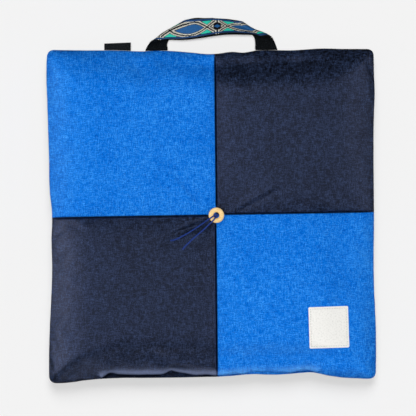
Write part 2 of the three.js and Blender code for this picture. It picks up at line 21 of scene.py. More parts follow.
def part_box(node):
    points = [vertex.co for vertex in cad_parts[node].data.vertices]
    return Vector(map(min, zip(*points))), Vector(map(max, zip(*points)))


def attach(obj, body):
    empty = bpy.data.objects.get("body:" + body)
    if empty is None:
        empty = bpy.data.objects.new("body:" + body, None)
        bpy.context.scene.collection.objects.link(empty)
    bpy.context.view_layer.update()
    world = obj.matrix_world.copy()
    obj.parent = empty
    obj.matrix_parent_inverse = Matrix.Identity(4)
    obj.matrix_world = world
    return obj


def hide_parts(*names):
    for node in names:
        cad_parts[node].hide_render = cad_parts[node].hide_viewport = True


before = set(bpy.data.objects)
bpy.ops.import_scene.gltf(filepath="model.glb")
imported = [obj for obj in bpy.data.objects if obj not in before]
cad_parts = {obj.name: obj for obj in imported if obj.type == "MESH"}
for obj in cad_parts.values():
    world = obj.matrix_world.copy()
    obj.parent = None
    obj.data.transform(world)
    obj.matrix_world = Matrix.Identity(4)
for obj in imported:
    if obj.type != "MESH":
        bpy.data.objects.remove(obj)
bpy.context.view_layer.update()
print(f"the frame holds {len(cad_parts)} solids")
bpy.ops.object.select_all(action="DESELECT")
MM = 0.001

# %% [markdown]
# ## Camera
#
# The cushion lies on its back and is seen from straight above. A product photograph taken from
# far away shows almost no perspective, so the lens is very long and the camera is high. The
# face's plane fills the picture's width of 507.5 mm.

# %% Camera over the face
PICTURE_WIDTH = 507.5
PICTURE_CENTRE = (-4.3, 10.4)
LENS, SENSOR_WIDTH = 600, 36
FACE_PLANE = 34  # between the edge seam and the top of the face
distance = PICTURE_WIDTH * LENS / SENSOR_WIDTH
camera_data = bpy.data.cameras.new("camera")
camera_data.lens = LENS
camera_data.sensor_width = SENSOR_WIDTH
camera_data.clip_end = 100
camera = bpy.data.objects.new("camera", camera_data)
camera.location = Vector((*PICTURE_CENTRE, FACE_PLANE + distance)) * MM
bpy.context.scene.collection.objects.link(camera)
bpy.context.scene.camera = camera
print(f"the camera is {camera.location.z:.2f} m above the floor")

# %% [markdown]
# ## Small helpers
#
# Most shapes below are formulas over whole arrays of points. These few functions are the ones
# that they share: mixing, clamping, an S-shaped ramp and a bell-shaped bump.

# %% Helpers for shapes
def mix(low, high, share):
    return low + (high - low) * share


def clamp(value):
    return np.clip(value, 0.0, 1.0)


def smooth(share):
    share = clamp(share)
    return share * share * (3 - 2 * share)


def bell(offset):
    return np.exp(-offset * offset)


# %% Helpers for meshes
def points_of(piece):
    """A piece's points in millimetres, one row each."""
    flat = np.empty(len(piece.data.vertices) * 3)
    piece.data.vertices.foreach_get("co", flat)
    return flat.reshape(-1, 3) / MM


def move_points(piece, points):
    """Puts a piece's points where the rows, in millimetres, say."""
    piece.data.vertices.foreach_set("co", (np.asarray(points) * MM).ravel())
    piece.data.update()


def new_grid(name, cells_x, cells_y):
    """A flat grid from 0 to 1 in x and y, to be shaped by a formula."""
    bpy.ops.mesh.primitive_grid_add(x_subdivisions=cells_x, y_subdivisions=cells_y, size=1)
    piece = bpy.context.active_object
    piece.name = name
    piece.data.name = name
    piece.select_set(False)
    unit = points_of(piece) * MM
    unit[:, :2] += 0.5
    return piece, unit


def corner_points(piece):
    """Which point each face corner uses, for filling UV maps and colours."""
    index = np.empty(len(piece.data.loops), dtype=int)
    piece.data.loops.foreach_get("vertex_index", index)
    return index


def lay_out(piece, flat):
    """Gives a piece the UV map "cut": each point's place on its flat cloth, in millimetres."""
    cut = piece.data.uv_layers.new(name="cut")
    cut.data.foreach_set("uv", (flat[corner_points(piece)] * MM).ravel())


def values_of(piece, label):
    """The values of one of a piece's point attributes."""
    values = np.empty(len(piece.data.vertices))
    piece.data.attributes[label].data.foreach_get("value", values)
    return values


def keep_values(piece, label, values):
    """Stores a value for each of a piece's points as an attribute."""
    layer = piece.data.attributes.new(label, "FLOAT", "POINT")
    layer.data.foreach_set("value", np.asarray(values, dtype=float))


def select_only(piece):
    bpy.ops.object.select_all(action="DESELECT")
    piece.select_set(True)
    bpy.context.view_layer.objects.active = piece


# %% [markdown]
# ## The pad's form
#
# The pad is two square cloths sewn together round their edges and filled. Seen from above its
# sides draw in between the corners, and its margins roll over from the face to the edge seam.
# The tables repeat the measures of the solid, so that the dressed pad stays in the space that
# the solid holds.

# %% Measures of the pad
CORNERS = {
    "top_left": (-200.6, 203.4),
    "top_right": (198.6, 204.7),
    "bottom_left": (-198.3, -203.4),
    "bottom_right": (200.4, -197.9),
}
PAD_WIDTH = 399
PAD_LENGTH = 405
CORNER_RADIUS = 8
# Each row: the distance along the side, and how far the side is drawn in there.
DRAWN_TOP = [
    (0, -0.5), (45, 0.3), (89, 0.6), (116, 1.8), (135, 0.8), (177, 3.5), (201, 5.4), (225, 2.8),
    (240, 3.8), (256, 1.1), (300, 1.0), (332, -0.9), (360, -0.5), (399, -0.2),
]
DRAWN_BOTTOM = [
    (0, -0.4), (23, -0.3), (43, 2.2), (82, 4.5), (115, 4.3), (189, 4.5), (224, 5.5), (248, 7.1),
    (268, 6.2), (290, 6.6), (312, 8.2), (323, 8.2), (345, 3.4), (378, 0.1), (399, -0.5),
]
DRAWN_LEFT = [
    (0, -0.2), (38, -0.2), (101, 2.6), (138, 4.0), (174, 3.5), (205, 4.4), (234, 1.7), (272, 1.1),
    (311, 0), (345, -0.8), (377, -1.6), (405, -0.3),
]
DRAWN_RIGHT = [
    (0, -0.5), (43, -1.1), (87, -0.1), (109, 0.9), (153, 1.4), (174, 1.0), (218, 0.8), (284, 0.9),
    (328, 0.1), (350, -0.8), (372, -0.2), (405, 0.3),
]
DRAW_IN_REACH = 45
SEAM_HEIGHT = 21
CORNER_SEAM_HEIGHT = 15
FACE_HEIGHT = 46
PANEL_CROWN = 3.5
ROLL_LEFT, ROLL_RIGHT, ROLL_TOP, ROLL_BOTTOM = 44, 60, 46, 42
ROLL_POWER = 1.5
HIP_SHARPNESS = 5
UNDER_ROLL = 26
SEAM_AT_BOTTOM, SEAM_AT_TOP = 0.5163, 0.5113
SEAM_AT_LEFT, SEAM_AT_RIGHT = 0.4969, 0.5050
VALLEY_DEPTH, VALLEY_REACH = 2.4, 9
TUFT = (5.9, 1.6)
TUFT_DEPTH, TUFT_REACH = 7, 22
RING_OUTER, RING_HOLE, RING_THICKNESS = 9.5, 3.5, 5
PATCH = {"x": 143, "y": -135, "width": 48.5, "length": 50.5, "turn": 1.8, "corner": 1.6}


# %% The pad's outline from above
def drawn_at(rows, along):
    """A smooth curve through the rows of a drawn-in side."""
    known = np.array(rows, float)
    last = len(known) - 1
    slopes = np.empty(last + 1)
    for row in range(last + 1):
        before, after = known[max(0, row - 1)], known[min(last, row + 1)]
        slopes[row] = (after[1] - before[1]) / (after[0] - before[0])
    index = np.clip(np.searchsorted(known[:, 0], along) - 1, 0, last - 1)
    span = known[index + 1, 0] - known[index, 0]
    share = clamp((along - known[index, 0]) / span)
    left = known[index, 1] + slopes[index] * span * share
    right = known[index + 1, 1] - slopes[index + 1] * span * (1 - share)
    return mix(left, right, smooth(share))


def plan(across, up):
    """The place in plan of a point of the pad, given as shares across and up it."""
    from_left, from_bottom = across * PAD_WIDTH, up * PAD_LENGTH
    near_x = np.minimum(from_left, PAD_WIDTH - from_left)
    near_y = np.minimum(from_bottom, PAD_LENGTH - from_bottom)
    in_corner = (near_x < CORNER_RADIUS) & (near_y < CORNER_RADIUS)
    out_x, out_y = clamp(1 - near_x / CORNER_RADIUS), clamp(1 - near_y / CORNER_RADIUS)
    round_x = CORNER_RADIUS * (1 - out_x * np.sqrt(1 - out_y * out_y / 2))
    round_y = CORNER_RADIUS * (1 - out_y * np.sqrt(1 - out_x * out_x / 2))
    new_x = np.where(in_corner, round_x, near_x)
    new_y = np.where(in_corner, round_y, near_y)
    from_left = np.where(from_left < PAD_WIDTH / 2, new_x, PAD_WIDTH - new_x)
    from_bottom = np.where(from_bottom < PAD_LENGTH / 2, new_y, PAD_LENGTH - new_y)
    across, up = from_left / PAD_WIDTH, from_bottom / PAD_LENGTH
    corners = {name: np.array(place) for name, place in CORNERS.items()}
    place = [
        mix(
            mix(corners["bottom_left"][axis], corners["bottom_right"][axis], across),
            mix(corners["top_left"][axis], corners["top_right"][axis], across),
            up,
        )
        for axis in (0, 1)
    ]
    x = place[0] + drawn_at(DRAWN_LEFT, from_bottom) * bell(from_left / DRAW_IN_REACH)
    x -= drawn_at(DRAWN_RIGHT, from_bottom) * bell((PAD_WIDTH - from_left) / DRAW_IN_REACH)
    y = place[1] + drawn_at(DRAWN_BOTTOM, from_left) * bell(from_bottom / DRAW_IN_REACH)
    y -= drawn_at(DRAWN_TOP, from_left) * bell((PAD_LENGTH - from_bottom) / DRAW_IN_REACH)
    return x, y


# %% The pad's height
def seam_height(across, up):
    """The edge seam's height, which falls towards the corners."""
    cornerness = np.abs((2 * across - 1) * (2 * up - 1)) ** 4
    return mix(SEAM_HEIGHT, CORNER_SEAM_HEIGHT, cornerness)


def margin_rise(distance, roll):
    """How far a margin has risen, from 0 at the edge seam to 1 where its roll ends."""
    outward = clamp(1 - distance / roll)
    return (1 - outward**ROLL_POWER) ** (1 / ROLL_POWER)


def rise(across, up):
    """How far the face has risen, from 0 at the edge seam to 1 inside its rounded margins."""
    rise_x = np.minimum(
        margin_rise(across * PAD_WIDTH, ROLL_LEFT),
        margin_rise((1 - across) * PAD_WIDTH, ROLL_RIGHT),
    )
    rise_y = np.minimum(
        margin_rise(up * PAD_LENGTH, ROLL_BOTTOM),
        margin_rise((1 - up) * PAD_LENGTH, ROLL_TOP),
    )
    fall = ((1 - rise_x) ** HIP_SHARPNESS + (1 - rise_y) ** HIP_SHARPNESS) ** (1 / HIP_SHARPNESS)
    return clamp(1 - fall)


# %% The face and the back
def seam_distances(across, up):
    """Signed distances from the upright and the level seam between the panels."""
    upright = (across - mix(SEAM_AT_BOTTOM, SEAM_AT_TOP, up)) * PAD_WIDTH
    level = (up - mix(SEAM_AT_LEFT, SEAM_AT_RIGHT, across)) * PAD_LENGTH
    return upright, level


def from_ring(x, y):
    return np.maximum(0, np.hypot(x - TUFT[0], y - TUFT[1]) - RING_OUTER)


def face_points(across, up):
    """The patchwork face, with its crown, the seams' valleys and the tuft."""
    x, y = plan(across, up)
    seam_across = mix(SEAM_AT_BOTTOM, SEAM_AT_TOP, up)
    seam_up = mix(SEAM_AT_LEFT, SEAM_AT_RIGHT, across)
    into_x = np.where(across < seam_across, across / seam_across, (1 - across) / (1 - seam_across))
    into_y = np.where(up < seam_up, up / seam_up, (1 - up) / (1 - seam_up))
    crown = PANEL_CROWN * np.sin(np.pi * into_x) * np.sin(np.pi * into_y)
    upright, level = seam_distances(across, up)
    pull = sum(VALLEY_DEPTH * np.exp(-np.abs(off) / VALLEY_REACH) for off in (upright, level))
    tuft = TUFT_DEPTH * np.exp(-from_ring(x, y) / TUFT_REACH)
    base = seam_height(across, up)
    z = base + rise(across, up) * (FACE_HEIGHT - base + crown - pull - tuft)
    return np.stack([x, y, z], axis=1)


def back_points(across, up):
    """The back, which rolls in under the edge seam and lies flat."""
    x, y = plan(across, up)
    inset = np.minimum(
        np.minimum(across, 1 - across) * PAD_WIDTH, np.minimum(up, 1 - up) * PAD_LENGTH
    )
    angle = np.arccos(clamp(1 - inset / UNDER_ROLL))
    z = seam_height(across, up) * (1 - np.sin(angle))
    return np.stack([x, y, z], axis=1)


# %% [markdown]
# ## Two cloths, sewn together
#
# A pad could be carved from a cube, but a real one is two flat cloths joined at the edge, and
# building it the same way gives lines of faces that run along every seam. Each cloth is a grid
# primitive. Its lines are moved close together at the edge and at the seams between the panels,
# where the cloth bends most. The edge's points are then merged, which is the edge seam.

# %% The two cloths
HALF_CELLS = 54  # faces from the edge of the pad to the seam between two panels
CROWDING = 0.88  # 0 spaces the lines evenly, 1 crowds them most
ON_EDGE = 0.4999  # from the middle of a grid to its edge, but for rounding
SAME_PLACE = 0.01  # points closer than this are one point


def crowd(line, seam):
    """Where a line of the grid goes, from 0 to 1, with the seam's own line on the seam."""
    half = np.where(line < 0.5, 2 * line, 2 * line - 1)
    half = mix(half, (1 - np.cos(np.pi * half)) / 2, CROWDING)
    return np.where(line < 0.5, seam * half, mix(seam, 1, half))


def cloth_layer(name, side):
    piece, unit = new_grid(name, 2 * HALF_CELLS, 2 * HALF_CELLS)
    rough_up = crowd(unit[:, 1], SEAM_AT_LEFT)
    across = crowd(unit[:, 0], mix(SEAM_AT_BOTTOM, SEAM_AT_TOP, rough_up))
    up = crowd(unit[:, 1], mix(SEAM_AT_LEFT, SEAM_AT_RIGHT, across))
    move_points(piece, face_points(across, up) if side > 0 else back_points(across, up))
    lay_out(piece, np.stack([across * PAD_WIDTH, up * PAD_LENGTH], axis=1))
    on_edge = (np.abs(unit[:, :2] - 0.5).max(axis=1)) > ON_EDGE
    keep_values(piece, "across", across)
    keep_values(piece, "up", up)
    keep_values(piece, "side", np.where(on_edge, 0, side))
    if side < 0:
        piece.data.flip_normals()
    return piece


pad = cloth_layer("patchwork_pad", 1)
back = cloth_layer("pad_back", -1)
select_only(pad)
back.select_set(True)
bpy.ops.object.join()
bpy.ops.object.mode_set(mode="EDIT")
bpy.ops.mesh.select_all(action="SELECT")
bpy.ops.mesh.remove_doubles(threshold=SAME_PLACE * MM)
bpy.ops.object.mode_set(mode="OBJECT")
print(f"the pad has {len(pad.data.polygons)} faces before it is filled")

# %% [markdown]
# ## Filling the pad
#
# Blender's cloth simulation can blow the pad up from inside as its wadding does. The seams, the
# tuft and the back that lies on the ground are pinned, so only the four panels and the margins
# swell, and they pucker next to what holds them. Gravity is off, because the filling carries
# the cloth. How far any point may go is capped, so that the pad keeps its size.

# %% Swelling under pressure
FILLED_FRAMES = 20
FILLING_PRESSURE = 4
MOST_SWELL = 3.0
SEWN_REACH, TIED_REACH = 2, 6  # how far from a seam and from the ring the cloth is held
CALM_REACH = 75  # round the ring, where the tie's ends lie
PATCH_CALM_REACH = 25


def beside_patch(x, y):
    """How far a place lies outside the patch, seen from above."""
    turn = math.radians(PATCH["turn"])
    right = (x - PATCH["x"]) * math.cos(turn) + (y - PATCH["y"]) * math.sin(turn)
    high = (y - PATCH["y"]) * math.cos(turn) - (x - PATCH["x"]) * math.sin(turn)
    return np.maximum(np.abs(right) - PATCH["width"] / 2, np.abs(high) - PATCH["length"] / 2)


def swell(piece):
    """Fills the pad by simulation, and caps how far that carries each point."""
    across, up, side = (values_of(piece, label) for label in ("across", "up", "side"))
    start = points_of(piece)
    sewn = np.minimum(*np.abs(seam_distances(across, up))) < SEWN_REACH
    tied = from_ring(start[:, 0], start[:, 1]) < TIED_REACH
    held = (side < 0.5) | sewn | tied
    pins = piece.vertex_groups.new(name="sewn")
    pins.add([int(i) for i in np.nonzero(held)[0]], 1.0, "REPLACE")
    select_only(piece)
    cloth = piece.modifiers.new("filling", "CLOTH")
    cloth.settings.quality = 6
    cloth.settings.use_pressure = True
    cloth.settings.uniform_pressure_force = FILLING_PRESSURE
    cloth.settings.effector_weights.gravity = 0
    cloth.settings.vertex_group_mass = "sewn"
    cloth.settings.shrink_min = -0.01
    cloth.settings.tension_stiffness = 15
    cloth.settings.compression_stiffness = 15
    cloth.settings.bending_stiffness = 0.5
    cloth.point_cache.frame_start = 1
    cloth.point_cache.frame_end = FILLED_FRAMES
    for step in range(1, FILLED_FRAMES + 1):
        bpy.context.scene.frame_set(step)
    bpy.ops.object.modifier_apply(modifier="filling")
    bpy.context.scene.frame_set(1)
    moved = points_of(piece) - start
    print(f"the filling moved the cloth {np.abs(moved).max():.1f} mm at most")
    length = np.linalg.norm(moved, axis=1, keepdims=True)
    moved *= MOST_SWELL * np.tanh(length / MOST_SWELL) / np.maximum(length, 1e-6)
    off_patch = beside_patch(start[:, 0], start[:, 1])
    free = smooth(from_ring(start[:, 0], start[:, 1]) / CALM_REACH)
    free *= smooth(off_patch / PATCH_CALM_REACH)
    move_points(piece, start + moved * free[:, None])


swell(pad)
pad.vertex_groups.clear()
select_only(pad)
finer = pad.modifiers.new("finer", "SUBSURF")
finer.levels = finer.render_levels = 1
bpy.ops.object.modifier_apply(modifier="finer")
print(f"the filled pad has {len(pad.data.polygons)} faces")

# %% [markdown]
# ## Folds and darts in the cloth
#
# Cloth that is drawn down at a tuft or gathered into a seam shows soft folds, sharp creases and
# darts. Each is a row of a table. A fold is a trough with a rounded bottom, or a ridge where
# its depth is below zero. A crease is a fold with one steep side. A dart is a V-shaped dent that
# starts at its tip and deepens to the seam, between two raised lips.

# %% Folds and creases
# x, y, turn in degrees, length, width, depth
FOLDS = [
    (-14, -26, 238, 18, 5, 1.2),
    (27, -20, 318, 20, 7, 0.8), (-43, -176, 34, 11, 4, -2.2), (-140, -163, 30, 46, 9, -2.0),
    (-108, -180, 100, 12, 10, -1.4), (-70, -178, 165, 20, 6, -1.0),
    (-188, -14, 10, 12, 6, 1.6), (-187, -62, -12, 14, 7, 2.0), (-189, -102, 14, 11, 6, 1.5),
    (188, -66, 4, 14, 8, 1.8), (38, 190, 80, 10, 6, 1.6), (100, 190, 96, 11, 9, 1.5),
    (62, 193, 100, 9, 8, -1.2), (-60, 190, 92, 10, 7, 0.9), (-165, 150, 80, 34, 6, 0.9),
    (-20, -12, 188, 24, 6, 2.0),
]
# x, y, turn in degrees, length, width, depth: the steep side is on the left of the run
CREASES = [
    (-32, -14, 202, 28, 11, 5.5), (-56, -33, 208, 16, 7, 2.6), (57, 22, 209, 24, 8, 3.4),
    (-30, 32, -51, 22, 9, 4.5), (-186, 188, -45, 14, 4, 1.6),
    (184, 190, -135, 14, 4, -1.4), (-184, -190, 45, 14, 4, -1.4), (186, -184, 135, 14, 4, 1.4),
]
STEEPER = 3  # a crease's steep side falls this many times faster than the other
CREASE_LIP, CREASE_SHARPNESS = 0.8, 4


def beside_fold(x, y, fold_x, fold_y, turn, length, width):
    """How far along and aside of a fold each place lies, in its lengths and widths."""
    turn = math.radians(turn)
    along = (x - fold_x) * math.cos(turn) + (y - fold_y) * math.sin(turn)
    aside = (y - fold_y) * math.cos(turn) - (x - fold_x) * math.sin(turn)
    return along / length, aside / width


def fold_depth(x, y):
    """How far the folds and creases lower the cloth at each place."""
    total = np.zeros_like(x)
    for *fold, depth in FOLDS:
        along, aside = beside_fold(x, y, *fold)
        total += depth * bell(along) * bell(aside)
    for *crease, depth in CREASES:
        along, aside = beside_fold(x, y, *crease)
        off = np.abs(aside)
        step = np.where(aside > 0, np.exp(-STEEPER * off), -np.exp(-off) * CREASE_LIP)
        total += depth * bell(along) * step * np.tanh(off * CREASE_SHARPNESS)
    return total


# %% Darts
# tip x, y, foot x, y, half width at the foot, depth, lip
DARTS = [
    (-49, -179, -39, -191, 14, 4.5, 1.6), (-122, -184, -123, -194, 10, 2.2, 1.2),
    (115, -171, 118, -188, 9, 3.2, 2.0), (-190, -30, -200, -31, 8, 1.6, 0.7),
]
DART_OPENS, LIP_OPENS = 0.7, 2.5  # how fast a dart deepens and its lips rise from the tip
LIP_PLACE, LIP_WIDTH = 1.15, 0.45  # as shares of a dart's half width


def dart_depth(x, y):
    """How far the darts lower the cloth at each place."""
    total = np.zeros_like(x)
    for tip_x, tip_y, foot_x, foot_y, half, depth, lip in DARTS:
        run = np.array([foot_x - tip_x, foot_y - tip_y])
        length = np.hypot(*run)
        along = ((x - tip_x) * run[0] + (y - tip_y) * run[1]) / length**2
        aside = ((x - tip_x) * run[1] - (y - tip_y) * run[0]) / length
        open_here = half * np.maximum(along, 0) + 1
        share = np.abs(aside) / open_here
        total += depth * clamp(along) ** DART_OPENS * smooth(LIP_PLACE - share)
        total -= lip * smooth(along * LIP_OPENS) * bell((share - LIP_PLACE) / LIP_WIDTH)
    return total


# %% [markdown]
# ## Sewing
#
# The seams are sewn after the filling, because a simulation would blow a stitched groove flat.
# A seam between panels is a narrow slit. The cloth beside it puckers in a fine, uneven wave.
# Along the lower edge the face turns under before it reaches the outline, and a narrow strip of it
# lies under the fold. Shade is painted into the colour of the cloth in the slits and in that
# strip, and a painted highlight lies along the fold's nose. A point attribute holds that painted
# light for the material, from -1 for the deepest painted shade to 1 for the painted highlight.

# %% Seams between the panels
GROOVE_DEPTH, GROOVE_HALF_WIDTH = 4.5, 0.8
GROOVE_ASIDE = 0.6  # the slit lies on the navy side of its seam
GROOVE_FADE = 2.5  # how far from the ring a slit comes up to its depth
PUCKER_HEIGHT, PUCKER_PITCH, PUCKER_REACH, PUCKER_FROM = 0.16, 6.5, 6.0, 2.5
PUCKER_WANDER, PUCKER_LEAST = 9, 0.4  # how unevenly the puckers come, and the smallest share


def wandering(x, y, size, seed):
    """A smooth uneven value from -0.5 to 0.5 that changes over a size."""
    return np.array([noise.noise(Vector((a / size, b / size, seed))) for a, b in zip(x, y)])


def sew_seams(place, across, up, uneven):
    """The depth of the seams between the panels with their puckers, and the painted shade for
    their slits.
    """
    x, y = place[:, 0], place[:, 1]
    fade = smooth(from_ring(x, y) / GROOVE_FADE)
    depth, slit_painted_shade = np.zeros_like(x), np.zeros_like(x)
    upright, level = seam_distances(across, up)
    for off, other, along in ((upright, level, y), (level, upright, x)):
        slit = bell((off - GROOVE_ASIDE * np.sign(other)) / GROOVE_HALF_WIDTH) * fade
        wave = np.cos(2 * np.pi * along / PUCKER_PITCH + PUCKER_WANDER * uneven)
        near = np.exp(-np.abs(off) / PUCKER_REACH) * smooth(np.abs(off) / PUCKER_FROM)
        pucker = PUCKER_HEIGHT * wave * near * (PUCKER_LEAST + clamp(uneven + 0.5))
        depth += GROOVE_DEPTH * slit - pucker
        # the slit's mask also darkens the cloth's colour as painted shade
        slit_painted_shade = np.maximum(slit_painted_shade, slit)
    return depth, slit_painted_shade


# %% Thin margins
# side, depth, distance in, width, and the middle and half length along the side as shares
SHOULDERS = [
    ("top", 1.5, 18, 12, 0.24, 0.34), ("top", 6.0, 17, 14, 0.66, 0.24),
    ("bottom", 3.0, 27, 14, 0.36, 0.17), ("bottom", 6.0, 25, 15, 0.75, 0.28),
    ("right", 5.5, 42, 26, 0.36, 0.24),
]
SHOULDER_FROM = 4  # how far from the edge seam a shoulder comes up to its depth


def shoulder_depth(across, up):
    """The margins fall off more steeply where the filling is thin."""
    sides = {
        "top": ((1 - up) * PAD_LENGTH, across), "bottom": (up * PAD_LENGTH, across),
        "right": ((1 - across) * PAD_WIDTH, up),
    }
    depth = np.zeros_like(across)
    for side, deep, inward, width, middle, reach in SHOULDERS:
        distance, along = sides[side]
        here = np.exp(-(((along - middle) / reach) ** 4))
        dip = bell((distance - inward) / width) * smooth(distance / SHOULDER_FROM)
        depth += deep * here * dip
    return depth


# %% The turned-under lower edge
STRIP_ZONE = 14  # the turned-under strip and its fold change the cloth this far in
STRIP_ROWS, UNDER_ROWS = 3.0, 4.5  # cloth that lies in the strip, and under the fold's nose
STRIP_LOW, NOSE_HEIGHT, NOSE_OUT = 18, 22.5, 1.3
STRIP_DARK_TO = 0.34  # left of this share of the width the strip gets a deep painted shade
# how far painted shade darkens the strip's colour: deep on the left, lighter beyond
DEEP_SHADE, LIGHT_SHADE = 0.92, 0.55
STRIP_FADE = 1.5  # a strip narrower than this fades out
HIGHLIGHT_AT, HIGHLIGHT_WIDTH = 2.2, 3.2  # where past the nose a painted highlight lies along the fold, and how widely
# Each row: the distance along the lower edge, and how wide the turned-under strip shows.
STRIP = [
    (0, 0), (60, 0), (67, 3), (73, 6.8), (77, 7.2), (84, 5), (92, 4), (122, 4), (138, 4.6),
    (143, 6), (149, 9.4), (160, 7), (170, 4.6), (178, 3.6), (200, 3), (206, 2.8), (224, 2.2),
    (244, 0.8), (268, 0.5), (290, 1), (301, 1.8), (316, 3), (328, 1), (335, 0), (399, 0),
]


def turn_under(across, up):
    """How the lower edge's fold moves each point in y and z, with the painted shade of its strip
    and the painted highlight on its nose.
    """
    from_edge = up * PAD_LENGTH
    width = np.interp(across * PAD_WIDTH, *np.array(STRIP, float).T)
    shown = smooth(width / STRIP_FADE) * (from_edge < STRIP_ZONE)

    def roll_height(distance):
        return SEAM_HEIGHT + (FACE_HEIGHT - SEAM_HEIGHT) * margin_rise(distance, ROLL_BOTTOM)

    in_strip = clamp(from_edge / STRIP_ROWS)
    under = clamp((from_edge - STRIP_ROWS) / (UNDER_ROWS - STRIP_ROWS))
    over = clamp((from_edge - UNDER_ROWS) / (STRIP_ZONE - UNDER_ROWS))
    end = roll_height(STRIP_ZONE)
    rolled = NOSE_HEIGHT + (roll_height(over * STRIP_ZONE) - SEAM_HEIGHT) * (
        (end - NOSE_HEIGHT) / (end - SEAM_HEIGHT)
    )
    new_y = np.where(
        from_edge < STRIP_ROWS,
        width * in_strip,
        np.where(
            from_edge < UNDER_ROWS,
            width - NOSE_OUT * np.sin(np.pi / 2 * under),
            mix(width - NOSE_OUT, STRIP_ZONE, over),
        ),
    )
    new_z = np.where(
        from_edge < STRIP_ROWS,
        mix(SEAM_HEIGHT, STRIP_LOW, in_strip),
        np.where(from_edge < UNDER_ROWS, mix(STRIP_LOW, NOSE_HEIGHT, under), rolled),
    )
    # painted shade in the strip under the nose, and a painted highlight along the fold just past
    # it
    shade = np.where(across < STRIP_DARK_TO, DEEP_SHADE, LIGHT_SHADE)
    painted_highlight = bell((from_edge - UNDER_ROWS - HIGHLIGHT_AT) / HIGHLIGHT_WIDTH)
    painted_light = painted_highlight - shade * (1 - under)
    move = np.stack([new_y - from_edge, new_z - roll_height(from_edge)], axis=1)
    return move * shown[:, None], painted_light * shown


# %% Sewing the pad
UNEVEN_SIZE, UNEVEN_SEED = 33, 2.0
SEWN_BY = 1.6  # seams and folds have their depth once the face has risen by 1 over this
NOT_BACK = -0.01  # "side" is 1 on the face, 0 on the edge seam and -1 on the back


def sew(piece):
    """Sews the seams, folds and turned-under strip into the filled pad, and stores their painted
    shade and highlight.
    """
    across, up, side = (values_of(piece, label) for label in ("across", "up", "side"))
    place = points_of(piece)
    x, y = place[:, 0].copy(), place[:, 1].copy()
    uneven = wandering(x, y, UNEVEN_SIZE, UNEVEN_SEED)
    seams, slit_painted_shade = sew_seams(place, across, up, uneven)
    folds = fold_depth(x, y) + dart_depth(x, y) + shoulder_depth(across, up)
    risen = smooth(rise(across, up) * SEWN_BY)
    place[:, 2] -= (seams + folds) * clamp(side) * risen
    moved, painted_light = turn_under(across, up)
    off_back = side > NOT_BACK
    place[:, 1:] += moved * off_back[:, None]
    # painted light for the material: painted shade in the slits and the strip, a painted highlight
    # on the fold's nose
    keep_values(piece, "painted_light", (painted_light - slit_painted_shade * risen) * off_back)
    move_points(piece, place)


sew(pad)
select_only(pad)
bpy.ops.object.shade_smooth()
low, high = points_of(pad).min(axis=0), points_of(pad).max(axis=0)
print("the sewn pad reaches from", low.round(1), "to", high.round(1))

# %% [markdown]
# ## The handle's strap
#
# The handle is one flat strap. It rises out of the top seam leaning inwards, rolls over along a
# slanting line, crosses to the other side with its other face up, and rolls down again. A strap
# doesn't stretch, so the half turn is worked out as a sheet wrapped round a thin rod, and the
# right half is the mirror image of the left. Soft webbing gives a little where it folds, and a
# short table draws it to its real outline. The webbing and the ribbon are the same surface at
# two distances from the strap's middle plane.

# %% A flat strap wrapped at its fold
SEAM_GAP = 0.1  # less than the solids leave, so that no light shows where the strap comes out
AT_FOOT = 0.9999  # how far along the run is the strap's very end, but for rounding
FOOT_X, FOOT_LEAN, FOOT_HEIGHT = 67.4, math.radians(68), 21
FOLD_X, FOLD_Y, FOLD_SLANT, FOLD_RADIUS = 54.2, 222.3, math.radians(34), 4.5


def top_seam_y(x):
    """The top seam's y at a place along it."""
    across = (x - CORNERS["top_left"][0]) / (CORNERS["top_right"][0] - CORNERS["top_left"][0])
    return plan(across, np.ones_like(across))[1]


FOOT_Y = float(top_seam_y(np.array([-float(FOOT_X)]))[0]) + SEAM_GAP


def wrapped(along, across, off):
    """The strap's left half: along it from its foot, across it, and off its middle plane."""
    x = -FOOT_X + along * math.cos(FOOT_LEAN) + across * math.sin(FOOT_LEAN) + FOLD_X
    y = FOOT_Y + along * math.sin(FOOT_LEAN) - across * math.cos(FOOT_LEAN) - FOLD_Y
    along_fold = x * math.cos(FOLD_SLANT) + y * math.sin(FOLD_SLANT)
    past = y * math.cos(FOLD_SLANT) - x * math.sin(FOLD_SLANT)
    angle = np.clip(past / FOLD_RADIUS, 0, math.pi)
    flat = np.minimum(0, past) - np.maximum(0, past - math.pi * FOLD_RADIUS)
    outward = flat + (FOLD_RADIUS - off) * np.sin(angle)
    height = FOOT_HEIGHT + off * np.cos(angle) + FOLD_RADIUS * (1 - np.cos(angle))
    return np.stack(
        [
            -FOLD_X + along_fold * math.cos(FOLD_SLANT) - outward * math.sin(FOLD_SLANT),
            FOLD_Y + along_fold * math.sin(FOLD_SLANT) + outward * math.cos(FOLD_SLANT),
            height,
        ],
        axis=-1,
    )


FAR_ALONG = 100.0  # past both folds, where the strap runs level
HALF_STRAP = FAR_ALONG - float(wrapped(np.array(FAR_ALONG), np.array(0.0), np.array(0.0))[0])


def rolled_at(across):
    """How far along the strap its roll ends, at a place across it."""
    start = (FOOT_Y - FOLD_Y) * math.cos(FOLD_SLANT) - (FOLD_X - FOOT_X) * math.sin(FOLD_SLANT)
    turn = FOOT_LEAN - FOLD_SLANT
    return (math.pi * FOLD_RADIUS - start + math.cos(turn) * across) / math.sin(turn)


# %% The strap's give and its crossing
CROSSING_BOW, CROSSING_LEAN, CROSSING_RIGHT_LEAN = 4, 28, 30
CROSSING_Y, CROSSING_HEIGHT = 231.5, 28
TILT_SLOPE, TILT_FROM, TILT_TO, SAG_FROM, SAG_TO, RIGHT_SAG = 0.07, 203, 225, 222, 243, 2
# x, y, reach, right, up: what is near x, y is drawn to the right and up
GIVES = [
    (-30, 243, 15, 9, 3), (5, 247, 24, 0, 1.3), (58, 235, 14, -3, -4), (-49, 213, 10, -3.5, 1.2),
    (50, 217, 10, 3.5, 1.8), (-62, 222, 12, -1, 0.8),
]
GIVE_FROM, GIVE_OVER = 203, 6


